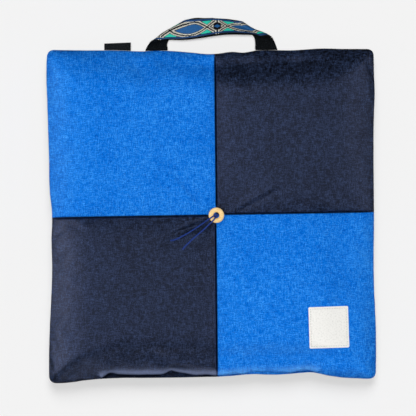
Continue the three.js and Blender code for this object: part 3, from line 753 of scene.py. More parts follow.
def given(middle):
    """How far the strap's middle plane is drawn away from a flat fold."""
    x, y = middle[..., 0], middle[..., 1]
    raised = smooth((y - TILT_FROM) / (TILT_TO - TILT_FROM))
    sagging = np.where(x > 0, RIGHT_SAG * smooth((y - SAG_FROM) / (SAG_TO - SAG_FROM)), 0)
    shift = np.zeros_like(middle)
    shift[..., 1] = TILT_SLOPE * x * (raised - sagging)
    y = y + shift[..., 1]
    free = smooth((y - GIVE_FROM) / GIVE_OVER)
    for give_x, give_y, reach, right, up in GIVES:
        share = free * bell(np.hypot(x - give_x, y - give_y) / reach)
        shift[..., 0] += share * right
        shift[..., 1] += share * up
    return shift


def strap_points(run, across, off):
    """Points of the whole strap: run goes from -1 at its left foot to 1 at its right foot."""
    cut = across * math.cos(FOOT_LEAN) / math.sin(FOOT_LEAN)
    along = mix(HALF_STRAP, cut, np.abs(run))
    side = np.where(run > 0, -1.0, 1.0)
    crossing = clamp((along - rolled_at(across)) / (HALF_STRAP - rolled_at(across)))
    share = np.sin(np.pi / 2 * crossing)

    def placed(off_middle):
        point = wrapped(along, across, off_middle)
        point[..., 0] *= side
        lean = np.radians(CROSSING_LEAN + CROSSING_RIGHT_LEAN * point[..., 0] / FOLD_X) * share
        y, z = point[..., 1] - CROSSING_Y, point[..., 2] - CROSSING_HEIGHT
        point[..., 1] = CROSSING_Y + y * np.cos(lean) + z * np.sin(lean)
        point[..., 2] = CROSSING_HEIGHT + z * np.cos(lean) - y * np.sin(lean)
        point[..., 2] += CROSSING_BOW * share
        return point

    point = placed(off) + given(placed(np.zeros_like(off)))
    at_seam = top_seam_y(point[..., 0]) + SEAM_GAP
    point[..., 1] = np.where(np.abs(run) > AT_FOOT, at_seam, point[..., 1])
    return point, side * (along - HALF_STRAP)


print(f"the strap is {2 * HALF_STRAP:.0f} mm long")

# %% [markdown]
# ## Webbing and ribbon
#
# A strap could be a flat grid given thickness by Solidify, but woven straps have rounded, close
# edges. So each is a grid primitive whose short way runs round the strap's section, as a tube
# pressed flat. Where that way comes round, its points are merged, and the ends are closed.

# %% Strap tubes
WEBBING_WIDTH, WEBBING_THICKNESS, WEBBING_EDGE = 25, 1.5, 0.4
WEBBING_CELLS, WEBBING_ROWS = 24, 200
RIBBON_WIDTH, RIBBON_THICKNESS, RIBBON_EDGE, CLEAR = 22.4, 1.0, 0.25, 0.3
RIBBON_CELLS, RIBBON_ROWS = 44, 440  # cells as large as one crossing of the weave
STRAP_SAME_PLACE = 0.002


def strap_section(width, low, high, cells, edge):
    """The strap's section: along its lower side, round an edge, back over it and round."""
    half, inner, middle = width / 2, width / 2 - edge, (low + high) / 2
    there = [(mix(-inner, inner, step / cells), low) for step in range(cells + 1)]
    back_again = [(-across, high) for across, _ in there]
    return np.array([*there, (half, middle), *back_again, (-half, middle)])


def strap_tube(name, section, cells):
    """A closed strap of a section along the handle's whole length."""
    piece, unit = new_grid(name, cells, len(section))
    place = section[np.rint(unit[:, 1] * len(section)).astype(int) % len(section)]
    points, along = strap_points(2 * unit[:, 0] - 1, place[:, 0], place[:, 1])
    move_points(piece, points)
    lay_out(piece, np.stack([along, place[:, 0]], axis=1))
    select_only(piece)
    bpy.ops.object.mode_set(mode="EDIT")
    bpy.ops.mesh.select_all(action="SELECT")
    bpy.ops.mesh.remove_doubles(threshold=STRAP_SAME_PLACE * MM)
    bpy.ops.mesh.select_all(action="DESELECT")
    bpy.ops.mesh.select_non_manifold()
    bpy.ops.mesh.edge_face_add()
    bpy.ops.mesh.select_all(action="SELECT")
    bpy.ops.mesh.normals_make_consistent(inside=False)
    bpy.ops.object.mode_set(mode="OBJECT")
    bpy.ops.object.shade_smooth()
    print(f"{name} has {len(piece.data.polygons)} faces")
    return piece


half_webbing = WEBBING_THICKNESS / 2
webbing_section = strap_section(
    WEBBING_WIDTH, -half_webbing, half_webbing, WEBBING_CELLS, WEBBING_EDGE
)
webbing = strap_tube("webbing_strap", webbing_section, WEBBING_ROWS)
ribbon_top = -half_webbing - CLEAR
ribbon_section = strap_section(
    RIBBON_WIDTH, ribbon_top - RIBBON_THICKNESS, ribbon_top, RIBBON_CELLS, RIBBON_EDGE
)
ribbon = strap_tube("woven_ribbon", ribbon_section, RIBBON_ROWS)

# %% [markdown]
# ## The ribbon's weave
#
# A jacquard ribbon shows one of its coloured threads at each crossing of warp and weft. The
# ribbon's faces are as large as such a crossing, about half a millimetre, so a colour for each
# face gives the stepped edges of woven work. The pattern is the old running guilloche: two
# double cords that cross and part again, long blue eyes between them, a lozenge where they
# nearly close, wedges beside each crossing and a border along both edges. It is worked out by a
# formula from a few named lengths.

# %% Guilloche by formula
PATTERN_MIDDLE = 7.0  # from the strap's middle to a lozenge
REPEAT = 69
LOZENGE_HALF = 12.7  # from a lozenge to the cords' crossing
EYE_REACH, EYE_ROUNDNESS, EYE_SLOPE = 7.5, 0.85, 0.65
LOZENGE_REACH = 9.8
CORD_OFF, CORD_HALF = 1.4, 0.66  # each of a double cord's two threads
GREY_EVERY = 4  # crossings along a cord from one grey thread to the next
INNER_CORD_OFF, INNER_CORD_HALF, INNER_CORD_FROM = 3.8, 0.6, 4.6
CORD_OUTLINE = 2.6
FIELD_EDGE = 7.9  # the field between the cords and the border ends here
WEDGE_HALF, FIELD_FROM = 7.5, 7  # from a crossing of the cords
TIP_HALF, TIP_LOW, TIP_HIGH = 2.6, 5.4, 8.4  # the pale tips above and below a lozenge
MIDDLE_LINE_HALF = 0.9
HEART_LENGTH, HEART_WIDTH = 4.2, 2.5  # the blue lozenge in the middle
BORDER = (8.5, 10.3)
THREADS = {
    "black": "#0a0d11", "pale": "#d2d0c4", "grey": "#6d6f6e", "blue": "#215a92",
    "dark_blue": "#17406f", "green": "#2ec4ac",
}


def guilloche(along, across, step):
    """The name of the thread that shows at each place of the ribbon."""
    from_lozenge = np.abs(np.mod(along - PATTERN_MIDDLE + REPEAT / 2, REPEAT) - REPEAT / 2)
    aside = np.abs(across)
    into_eye = (from_lozenge - LOZENGE_HALF) / (REPEAT / 2 - LOZENGE_HALF)
    in_eye = into_eye > 0
    eye = EYE_REACH * np.sin(np.pi / 2 * clamp(into_eye)) ** EYE_ROUNDNESS
    lozenge = LOZENGE_REACH * (1 - from_lozenge / LOZENGE_HALF)
    reach = np.where(in_eye, eye, lozenge)
    slope = np.where(in_eye, EYE_SLOPE * (1 - clamp(into_eye)), LOZENGE_REACH / LOZENGE_HALF)
    off = (aside - reach) / np.sqrt(1 + slope**2)

    thread = np.full(along.shape, "black", dtype=object)
    thread[in_eye & (off < -CORD_OUTLINE)] = "blue"
    beside = np.abs(from_lozenge - LOZENGE_HALF)
    field = (off > CORD_OUTLINE) & (aside < FIELD_EDGE)
    thread[field & in_eye & (beside > FIELD_FROM)] = "dark_blue"
    thread[field & (beside < WEDGE_HALF)] = "green"
    cord = np.abs(np.abs(off) - CORD_OFF) < CORD_HALF
    inner_cord = np.abs(off + INNER_CORD_OFF) < INNER_CORD_HALF
    cord |= ~in_eye & inner_cord & (from_lozenge > INNER_CORD_FROM)
    thread[cord] = "pale"
    thread[cord & (step % GREY_EVERY == 0)] = "grey"
    thread[(from_lozenge < TIP_HALF) & (aside > TIP_LOW) & (aside < TIP_HIGH)] = "pale"
    thread[from_lozenge < MIDDLE_LINE_HALF] = "black"
    thread[~in_eye & (from_lozenge / HEART_LENGTH + aside / HEART_WIDTH < 1)] = "blue"
    thread[(aside > BORDER[0]) & (aside < BORDER[1])] = "dark_blue"
    return thread


# %% Colours of the ribbon's faces
CROSSING_ALONG, CROSSING_ACROSS = 0.55, 0.5


def linear(code):
    """An sRGB hex colour as the linear colour that a shader takes."""
    parts = [int(code[i : i + 2], 16) / 255 for i in (1, 3, 5)]
    return (*(p / 12.92 if p <= 0.04045 else ((p + 0.055) / 1.055) ** 2.4 for p in parts), 1)


def weave_colours(piece):
    """Stores the colour of the thread that shows in each face, for its corners."""
    faces = piece.data.polygons
    totals = np.empty(len(faces), dtype=int)
    faces.foreach_get("loop_total", totals)
    owner = np.repeat(np.arange(len(faces)), totals)
    flat = np.empty(len(piece.data.loops) * 2)
    piece.data.uv_layers["cut"].data.foreach_get("uv", flat)
    flat = flat.reshape(-1, 2) / MM
    along, across = (np.bincount(owner, flat[:, i]) / totals for i in (0, 1))
    step = np.floor(along / CROSSING_ALONG) + 2 * np.floor(across / CROSSING_ACROSS)
    shown = guilloche(along, across, step)
    print({name: int((shown == name).sum()) for name in THREADS})
    colours = np.array([linear(THREADS[name]) for name in shown])
    layer = piece.data.color_attributes.new("threads", "FLOAT_COLOR", "CORNER")
    layer.data.foreach_set("color", colours[owner].ravel())


weave_colours(ribbon)

# %% [markdown]
# ## Side tag
#
# The tag is a black tape folded in two and caught in the top seam by both cut ends. One grid
# follows the tape out, round its fold and back, and Solidify gives it the tape's thickness.

# %% Folded tape
TAG_LEFT, TAG_RIGHT, TAG_FAR_LEFT, TAG_FAR_RIGHT = -131, -98.7, 211.3, 212.6
TAG_THICKNESS, TAG_LIFT = 1.2, 1.2
TAPE = 0.5
TAPE_BEND = 0.12  # the share of each layer that is in the fold
TAG_CELLS = (26, 40)
CRISP = math.radians(50)  # edges sharper than this stay sharp when a thin piece is smoothed


def side_tag():
    piece, unit = new_grid("folded_tag", *TAG_CELLS)
    run = unit[:, 1] * 2 - 1  # -1 at the lower cut end, 1 at the upper one
    half_gap = (TAG_THICKNESS - TAPE) / 2
    x = mix(TAG_LEFT, TAG_RIGHT, unit[:, 0])
    seam_y = top_seam_y(x) + SEAM_GAP
    far = mix(TAG_FAR_LEFT, TAG_FAR_RIGHT, unit[:, 0]) - TAPE / 2
    straight = clamp((1 - np.abs(run)) / (1 - TAPE_BEND))
    turn = np.pi / 2 * np.clip(run / TAPE_BEND, -1, 1)
    bent = far - half_gap + half_gap * np.cos(turn)
    y = np.where(np.abs(run) > TAPE_BEND, mix(seam_y, far - half_gap, straight), bent)
    out = (y - seam_y) / (far - seam_y)
    across = (x - CORNERS["top_left"][0]) / (CORNERS["top_right"][0] - CORNERS["top_left"][0])
    z = seam_height(across, np.ones_like(across)) + half_gap * np.sin(turn) + TAG_LIFT * out**2
    move_points(piece, np.stack([x, y, z], axis=1))
    lay_out(piece, np.stack([x, run * (far - seam_y)], axis=1))
    select_only(piece)
    wall = piece.modifiers.new("tape", "SOLIDIFY")
    wall.thickness = TAPE * MM
    wall.offset = 0
    bpy.ops.object.modifier_apply(modifier="tape")
    bpy.ops.object.shade_smooth_by_angle(angle=CRISP)
    return piece


tag = side_tag()
print(f"the tag has {len(tag.data.polygons)} faces")

# %% [markdown]
# ## Label patch
#
# The patch is sewn flat onto a swelling panel, so it takes the panel's curve. Each point of a
# grid is let down onto the finished pad and lifted by the cloth's thickness. A line of stitches
# presses it in just inside its edge. It is bare white.

# %% Patch on the panel
PATCH_CLOTH = 0.7
PATCH_CELLS = (58, 60)
PATCH_LIFT, PATCH_FULLNESS, PATCH_EDGE = 0.1, 0.3, 2  # it swells within this of its edge
STITCH_INSET, STITCH_PRESS, STITCH_REACH = 2.4, 0.3, 0.8
ABOVE_ALL = 0.2  # metres up, where the rays that find the cloth start
pad_tree = BVHTree.FromPolygons(
    [vertex.co.copy() for vertex in pad.data.vertices],
    [tuple(face.vertices) for face in pad.data.polygons],
)


def cloth_height(x, y):
    """The pad's height over each place, in millimetres."""
    down = Vector((0, 0, -1))
    starts = [Vector((a * MM, b * MM, ABOVE_ALL)) for a, b in zip(x, y)]
    return np.array([pad_tree.ray_cast(start, down)[0].z / MM for start in starts])


def label_patch():
    piece, unit = new_grid("white_patch", *PATCH_CELLS)
    across, up = unit[:, 0] - 0.5, unit[:, 1] - 0.5
    near_x = (0.5 - np.abs(across)) * PATCH["width"]
    near_y = (0.5 - np.abs(up)) * PATCH["length"]
    out_x, out_y = clamp(1 - near_x / PATCH["corner"]), clamp(1 - near_y / PATCH["corner"])
    pull_x = PATCH["corner"] * out_x * (1 - np.sqrt(1 - out_y**2 / 2))
    pull_y = PATCH["corner"] * out_y * (1 - np.sqrt(1 - out_x**2 / 2))
    right = across * PATCH["width"] - np.sign(across) * pull_x
    high = up * PATCH["length"] - np.sign(up) * pull_y
    turn = math.radians(PATCH["turn"])
    x = PATCH["x"] + right * math.cos(turn) - high * math.sin(turn)
    y = PATCH["y"] + right * math.sin(turn) + high * math.cos(turn)
    edge = np.minimum(near_x, near_y)
    pressed = STITCH_PRESS * bell((edge - STITCH_INSET) / STITCH_REACH)
    full = PATCH_FULLNESS * smooth(edge / PATCH_EDGE)
    z = cloth_height(x, y) + PATCH_CLOTH + PATCH_LIFT + full - pressed
    move_points(piece, np.stack([x, y, z], axis=1))
    lay_out(piece, np.stack([right, high], axis=1))
    select_only(piece)
    wall = piece.modifiers.new("cloth", "SOLIDIFY")
    wall.thickness = PATCH_CLOTH * MM
    wall.offset = -1
    bpy.ops.object.modifier_apply(modifier="cloth")
    bpy.ops.object.shade_smooth_by_angle(angle=CRISP)
    return piece


patch = label_patch()
print(f"the patch has {len(patch.data.polygons)} faces")

# %% [markdown]
# ## Ring and knot
#
# The ring is turned from pale wood. A torus primitive is as wide as it is high, so its section
# is reshaped into a flatter one with soft corners. The knot is a sphere primitive with three
# strands wound round it.

# %% Wooden ring
SECTION_POWER = 2 / 2.6  # 1 leaves the section round, and less makes it squarer


def softly_square(value):
    return np.sign(value) * np.abs(value) ** SECTION_POWER


ring_middle = np.array((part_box("ring")[0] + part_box("ring")[1]) / 2) / MM
ring_radius, half_wall = (RING_OUTER + RING_HOLE) / 2, (RING_OUTER - RING_HOLE) / 2
bpy.ops.mesh.primitive_torus_add(
    major_segments=96,
    minor_segments=32,
    location=(0, 0, 0),
    major_radius=ring_radius * MM,
    minor_radius=half_wall * MM,
)
ring = bpy.context.active_object
ring.name = "wooden_ring"
points = points_of(ring)
out = np.hypot(points[:, 0], points[:, 1])
angle = np.arctan2(points[:, 2], out - ring_radius)
points[:, :2] *= ((ring_radius + half_wall * softly_square(np.cos(angle))) / out)[:, None]
points[:, 2] = RING_THICKNESS / 2 * softly_square(np.sin(angle))
move_points(ring, points + ring_middle)
select_only(ring)
bpy.ops.object.shade_smooth()
print(f"the ring is {2 * RING_OUTER} mm wide and {RING_THICKNESS} mm thick")

# %% Wound knot
KNOT_RADIUS, KNOT_HALF_HEIGHT, STRANDS = 2.6, 3.2, 3
STRAND_SLANT, STRAND_DEPTH, STRAND_ROUNDNESS = 3.4, 0.22, 0.6
knot_middle = np.array((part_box("tie_knot")[0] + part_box("tie_knot")[1]) / 2) / MM
bpy.ops.mesh.primitive_uv_sphere_add(segments=64, ring_count=40, radius=MM, location=(0, 0, 0))
knot = bpy.context.active_object
knot.name = "thread_knot"
points = points_of(knot)
turn = np.arctan2(points[:, 1], points[:, 0])
strand = np.abs(np.sin(STRANDS / 2 * turn + STRAND_SLANT * points[:, 2]))
wound = 1 - STRAND_DEPTH * (1 - strand**STRAND_ROUNDNESS) * (1 - points[:, 2] ** 4)
points *= wound[:, None] * np.array([KNOT_RADIUS, KNOT_RADIUS, KNOT_HALF_HEIGHT])
move_points(knot, points + knot_middle)
select_only(knot)
bpy.ops.object.shade_smooth()
print(f"the knot has {len(knot.data.polygons)} faces")

# %% [markdown]
# ## The tie's two ends
#
# The thread that tufts the cushion comes out of its knot, runs over the ring's rim and ends in
# two cut ends that lie on the cloth. Each is a curve with a round section along the same route
# as the solid, let down onto the finished cloth past the ring.

# %% Routes of the tie's ends
END_A = [
    (5.2, 2.3, 41.85), (3.3, 1.1, 42.45), (1.0, -0.4, 42.85), (-1.8, -2.2, 42.85),
    (-4.8, -4.2, 42.45), (-8.4, -6.8, 41.85), (-13.2, -10.2, 42.25), (-23.1, -16.6, 44.65),
    (-33.1, -22.7, 46.5), (-44.3, -28.2, 47.6), (-50.1, -29.3, 47.9),
]
END_B = [
    (6.4, 0.6, 41.85), (5.1, -1.0, 42.45), (3.5, -3.0, 42.85), (1.7, -5.1, 42.85),
    (-0.5, -7.3, 42.45), (-4.0, -10.6, 41.85), (-10.6, -16.8, 42.95), (-18.8, -23.7, 44.65),
    (-25.6, -29.9, 46.1), (-32.5, -36.7, 47.3), (-35.3, -40.5, 47.7),
]


def through(route, per_span=4):
    """A smooth curve through the route's points: a Catmull-Rom spline."""
    known = np.array(route, float)
    known = np.vstack([2 * known[0] - known[1], known, 2 * known[-1] - known[-2]])
    line = []
    for span in range(1, len(known) - 2):
        before, start, end, after = known[span - 1 : span + 3]
        for share in np.arange(per_span) / per_span:
            line.append(
                start + share * (end - before) / 2
                + share * share * (2 * before - 5 * start + 4 * end - after) / 2
                + share**3 * (3 * start - before - 3 * end + after) / 2
            )
    return np.array([*line, known[-2]])


# %% Threads along their routes
THREAD_DIAMETER = 1.8
OFF_RING, LET_DOWN = 3, 6  # past the ring's rim, and over this, a thread comes down to the cloth
THREAD_CLEAR = 0.05


def tie_end(name, route):
    """One free end of the tie, as a round curve along its route."""
    line = through(route)
    lying = smooth((from_ring(line[:, 0], line[:, 1]) - OFF_RING) / LET_DOWN)
    on_cloth = cloth_height(line[:, 0], line[:, 1]) + THREAD_DIAMETER / 2 + THREAD_CLEAR
    line[:, 2] = mix(line[:, 2], on_cloth, lying)
    data = bpy.data.curves.new(name, "CURVE")
    data.dimensions = "3D"
    data.bevel_depth = THREAD_DIAMETER / 2 * MM
    data.bevel_resolution = 4
    data.use_fill_caps = True
    spline = data.splines.new("POLY")
    spline.points.add(len(line) - 1)
    for point, place in zip(spline.points, line):
        point.co = (*(place * MM), 1)
    piece = bpy.data.objects.new(name, data)
    bpy.context.scene.collection.objects.link(piece)
    length = np.linalg.norm(np.diff(line, axis=0), axis=1).sum()
    print(f"{name} is {length:.1f} mm long")
    return piece, length


thread_a, length_a = tie_end("thread_a", END_A)
thread_b, length_b = tie_end("thread_b", END_B)

# %% [markdown]
# ## Materials
#
# Every material is procedural. One small function adds a node, sets it up and gives its inputs
# their values or links. Each material is named for what the real one is, and its patterns are
# as large as the real yarns, ribs and grain, worked out from millimetres.

# %% Helpers for materials
def add(tree, kind, inputs, output=0, **settings):
    """Adds a node with its settings, values and links, and gives back one of its outputs."""
    node = tree.nodes.new("ShaderNode" + kind)
    for name, value in settings.items():
        setattr(node, name, value)
    for name, value in inputs.items() if isinstance(inputs, dict) else enumerate(inputs):
        if isinstance(value, bpy.types.NodeSocket):
            tree.links.new(value, node.inputs[name])
        else:
            node.inputs[name].default_value = value
    return node.outputs[output] if node.outputs else None


def coloured(picked, *codes):
    """Gives a Color Ramp, known by its output, evenly spaced colours."""
    stops = picked.node.color_ramp.elements
    stops[0].color, stops[1].color = linear(codes[0]), linear(codes[-1])
    for index, code in enumerate(codes[1:-1], 1):
        stops.new(index / (len(codes) - 1)).color = linear(code)
    return picked


def start_material(name):
    material = bpy.data.materials.new(name)
    material.use_nodes = True
    material.node_tree.nodes.clear()
    return material, material.node_tree


def finish_material(material, tree, inputs, height=None, depth=0.0):
    """Ends a material in a Principled shader, with a bump of a real depth in millimetres."""
    if height is not None:
        relief = {"Strength": 1.0, "Distance": depth * MM, "Height": height}
        inputs = {**inputs, "Normal": add(tree, "Bump", relief)}
    add(tree, "OutputMaterial", (add(tree, "BsdfPrincipled", inputs),))
    return material


def flat_place(tree):
    """The place on the flat cloth, along and across, in metres."""
    uv = add(tree, "UVMap", {}, uv_map="cut")
    parts = add(tree, "SeparateXYZ", (uv,)).node.outputs
    return uv, parts[0], parts[1]


def ribs(tree, way, pitch):
    """A wave from -1 to 1 along one way of the cloth, with its crests a pitch apart."""
    turns = add(tree, "Math", (way, 2 * math.pi / (pitch * MM)), operation="MULTIPLY")
    return add(tree, "Math", (turns,), operation="SINE")


def spots(tree, place, size, detail):
    """Noise whose spots are about as large as a size in millimetres."""
    return add(tree, "TexNoise", {"Vector": place, "Scale": 1 / (size * MM), "Detail": detail})


# %% [markdown]
# ## Canvas of the panels
#
# The panels are solution-dyed outdoor canvas, a plain weave of slubby yarns whose tone varies
# along their length. The yarns could be modelled one by one, but there are hundreds across each
# panel. A formula draws them here. Each yarn has a number, that number and the place along the
# yarn pick its tone, and warp and weft show by turns. The dyed fibres tint their own shine,
# which is most of what the eye gets from the navy cloth.

# %% Canvas
YARN, SLUB = 0.6, 8  # the yarns' pitch, and how long a thicker stretch of one is
YARN_APART = 5.31  # sets a yarn's tones far from its neighbour's in the noise
WARP_START, WEFT_START = 0.4, 7.7
CLOUD, CLOUDING = 45.45, 0.3  # slow changes in tone: their size and strength
PAINTED_SHADE_STRENGTH = 0.9  # how much of its colour the cloth loses where shade is painted, deep in a seam and in the lower strip
SLUB_RELIEF, CANVAS_RELIEF = 0.8, 0.05


def canvas(name, contrast, deep, base, pale, shine, highlight_colour):
    """Plain-woven canvas of one colour, with shade painted into its seams and lower strip and a
    painted highlight along the lower fold.
    """
    material, tree = start_material(name)
    uv, u, v = flat_place(tree)
    yarns, tones = [], []
    for start, this_way, other_way in ((WARP_START, u, v), (WEFT_START, v, u)):
        count = add(tree, "Math", (this_way, YARN * MM), operation="DIVIDE")
        yarn = add(tree, "Math", (count,), operation="FLOOR")
        own = add(tree, "Math", (yarn, YARN_APART, start), operation="MULTIPLY_ADD")
        along = add(tree, "Math", (other_way, SLUB * MM), operation="DIVIDE")
        slubs = {"Vector": add(tree, "CombineXYZ", (own, along)), "Scale": 1.0}
        tones.append(add(tree, "TexNoise", {**slubs, "Detail": 4.0, "Roughness": 0.75}))
        yarns.append(yarn)
    crossing = add(tree, "Math", yarns, operation="ADD")
    over = add(tree, "Math", (crossing, 1.0), operation="PINGPONG")
    shown = add(tree, "Mix", {0: over, 2: tones[0], 3: tones[1]})

    from_middle = add(tree, "Math", (shown, 0.5), operation="SUBTRACT")
    clouds = (spots(tree, uv, CLOUD, 3.0), CLOUDING, 0.5 - CLOUDING / 2)
    cloudy = add(tree, "Math", clouds, operation="MULTIPLY_ADD")
    tone = add(tree, "Math", (from_middle, contrast, cloudy), operation="MULTIPLY_ADD")
    colour = coloured(add(tree, "ValToRGB", (tone,)), deep, base, pale)

    # painted light from the pad: below 0 it darkens the colour as painted shade, above 0 it adds a
    # painted highlight
    painted_light = add(tree, "Attribute", {}, "Fac", attribute_name="painted_light")
    shaded = add(tree, "Math", (painted_light, 0.0), operation="MINIMUM")
    kept = add(tree, "Math", (shaded, PAINTED_SHADE_STRENGTH, 1.0), operation="MULTIPLY_ADD")
    colour = add(tree, "VectorMath", {0: colour, "Scale": kept}, operation="SCALE")
    painted_highlight = add(tree, "Math", (painted_light, 0.0), operation="MAXIMUM")
    highlight_added = {0: linear(highlight_colour)[:3], "Scale": painted_highlight}
    highlight_added = add(tree, "VectorMath", highlight_added, operation="SCALE")
    colour = add(tree, "VectorMath", (colour, highlight_added), operation="ADD")

    rounded = [ribs(tree, way, 2 * YARN) for way in (u, v)]
    rounded = add(tree, "Math", rounded, operation="MULTIPLY")
    pillow = add(tree, "Math", (rounded,), operation="ABSOLUTE")
    height = add(tree, "Math", (shown, SLUB_RELIEF, pillow), operation="MULTIPLY_ADD")
    finish = {
        "Base Color": colour, "Roughness": 0.47, "Specular IOR Level": 0.8,
        "Specular Tint": linear(shine),
    }
    return finish_material(material, tree, finish, height, CANVAS_RELIEF)


# the last colour of each canvas is its painted highlight along the lower fold's nose
blue_canvas = canvas(
    "blue_canvas", 4.0, "#0048b0", "#0070dd", "#42a0fa", "#3fa0c8", "#4a7080"
)
navy_canvas = canvas(
    "navy_canvas", 7.0, "#000102", "#04070e", "#303f60", "#b8c6ff", "#6a7492"
)
print(f"the canvas has {PAD_WIDTH / YARN:.0f} yarns across the pad")

# %% [markdown]
# ## Webbing, tape and ribbon
#
# The strap is polypropylene webbing, extruded black threads woven into ribs across it, and the tag
# is a finer tape. Both stay nearly black, and only small painted glints, lighter flecks in their
# colour, show their ribs. The ribbon takes its colours from the threads stored on its faces, so
# its material adds only the uneven brightness and the soft shine of rayon.

# %% Webbing, tape and ribbon
WEBBING_RIB, TAPE_RIB, WEBBING_YARN = 1.7, 0.7, 0.9
GLINT, GLINT_POWER, GLINT_STRENGTH = 1.111, 3.0, 3.0
WEBBING_RELIEF = 0.1
RAYON_SPOT, RAYON_UNEVEN, RAYON_DARKEST = 0.7143, 1.1, 0.45
RIBBON_WEFT, RIBBON_RELIEF = 0.55, 0.06


def webbing_cloth(name, deep, base, painted_glint, rib):
    """Tightly woven polypropylene: ribs across the strap, nearly black, with small painted glints.
    """
    material, tree = start_material(name)
    uv, u, v = flat_place(tree)
    crossings = (ribs(tree, u, rib), ribs(tree, v, WEBBING_YARN), 1.0)
    woven = add(tree, "Math", crossings, operation="MULTIPLY_ADD")
    # painted glints: sparse lighter flecks in the colour along the ribs
    glints = add(tree, "Math", (spots(tree, uv, GLINT, 2.0), GLINT_POWER), operation="POWER")
    glints = add(tree, "Math", (glints, woven), operation="MULTIPLY")
    tone = add(tree, "Math", (glints, GLINT_STRENGTH), operation="MULTIPLY")
    colour = coloured(add(tree, "ValToRGB", (tone,)), deep, base, painted_glint)
    finish = {"Base Color": colour, "Roughness": 0.8, "Specular IOR Level": 0.1}
    return finish_material(material, tree, finish, woven, WEBBING_RELIEF)


def ribbon_cloth():
    """Jacquard ribbon of rayon threads: each face's own colour, with a soft thread shine."""
    material, tree = start_material("jacquard_ribbon")
    uv, u, v = flat_place(tree)
    threads = add(tree, "Attribute", {}, "Color", attribute_name="threads")
    uneven = (spots(tree, uv, RAYON_SPOT, 1.0), RAYON_UNEVEN, RAYON_DARKEST)
    strength = add(tree, "Math", uneven, operation="MULTIPLY_ADD")
    colour = add(tree, "VectorMath", {0: threads, "Scale": strength}, operation="SCALE")
    height = add(tree, "Math", (ribs(tree, u, 2 * RIBBON_WEFT),), operation="ABSOLUTE")
    finish = {"Base Color": colour, "Roughness": 0.5, "Specular IOR Level": 0.4}
    return finish_material(material, tree, finish, height, RIBBON_RELIEF)


black_webbing = webbing_cloth("black_webbing", "#020304", "#050709", "#23282d", WEBBING_RIB)
black_tape = webbing_cloth("black_tape", "#0b0d0f", "#15181a", "#2c3033", TAPE_RIB)
jacquard_ribbon = ribbon_cloth()
print(f"the webbing has {2 * HALF_STRAP / WEBBING_RIB:.0f} ribs")

# %% [markdown]
# ## Patch cloth, wood and thread
#
# The patch is white cotton twill, matt, with one line of small stitches that could be modelled as
# beads of thread but are under half a millimetre wide, so a dashed line of painted shade in the
# material shows them. The ring is turned maple with a thin wax, and the tie is a waxed polyester
# thread.

# %% Patch cloth
STITCH_HALF, STITCH_PITCH, STITCH_SHARE = 0.35, 3, -0.35
STITCH_SHADE, STITCH_RELIEF = -0.5, 3.0
TWILL_PITCH, TWILL_SPOT, TWILL_RELIEF = 0.8, 2, 0.05


def patch_cloth():
    """White cotton twill with a border of small stitches in the same white, darkened by painted
    shade.
    """
    material, tree = start_material("white_twill")
    uv, u, v = flat_place(tree)
    to_sides = []
    for side, way in (("width", u), ("length", v)):
        off = add(tree, "Math", (way,), operation="ABSOLUTE")
        to_sides.append(add(tree, "Math", (PATCH[side] / 2 * MM, off), operation="SUBTRACT"))
    from_edge = add(tree, "Math", to_sides, operation="MINIMUM")
    off_line = add(tree, "Math", (from_edge, STITCH_INSET * MM), operation="SUBTRACT")
    off_line = add(tree, "Math", (off_line,), operation="ABSOLUTE")
    on_line = add(tree, "Math", (off_line, STITCH_HALF * MM), operation="LESS_THAN")
    slanting = add(tree, "Math", (u, v), operation="ADD")
    dashes = (ribs(tree, slanting, STITCH_PITCH), STITCH_SHARE)
    dashes = add(tree, "Math", dashes, operation="GREATER_THAN")
    stitch = add(tree, "Math", (on_line, dashes), operation="MULTIPLY")
    # the stitches' dashes get painted shade in the tone, as for thread sunk into the twill
    shade = (stitch, STITCH_SHADE, spots(tree, uv, TWILL_SPOT, 2.0))
    tone = add(tree, "Math", shade, operation="MULTIPLY_ADD")
    colour = coloured(add(tree, "ValToRGB", (tone,)), "#d6d5d1", "#f8f7f3", "#fdfcf9")
    twill = ribs(tree, slanting, TWILL_PITCH)
    height = add(tree, "Math", (stitch, STITCH_RELIEF, twill), operation="MULTIPLY_ADD")
    finish = {"Base Color": colour, "Roughness": 0.85, "Specular IOR Level": 0.2}
    return finish_material(material, tree, finish, height, TWILL_RELIEF)


# %% Wood and thread
GRAIN_LENGTH, GRAIN_WIDTH, GRAIN_RELIEF = 6.25, 0.6667, 0.03
PLY, PLY_UNEVEN, PLY_RELIEF = 0.748, 2.0, 0.1


def ring_wood():
    """Pale maple, turned and waxed: fine straight grain and a soft shine."""
    material, tree = start_material("pale_maple")
    place = add(tree, "TexCoord", {}, "Object")
    per_metre = [1 / (size * MM) for size in (GRAIN_LENGTH, GRAIN_WIDTH, GRAIN_WIDTH)]
    grain = add(tree, "Mapping", {"Vector": place, "Scale": per_metre})
    lines = {"Vector": grain, "Scale": 1.0, "Detail": 4.0, "Roughness": 0.6}
    lines = add(tree, "TexNoise", lines)
    colour = coloured(add(tree, "ValToRGB", (lines,)), "#d89c50", "#f8d492", "#fff2cc")
    finish = {"Base Color": colour, "Roughness": 0.42, "Specular IOR Level": 0.5}
    return finish_material(material, tree, finish, lines, GRAIN_RELIEF)


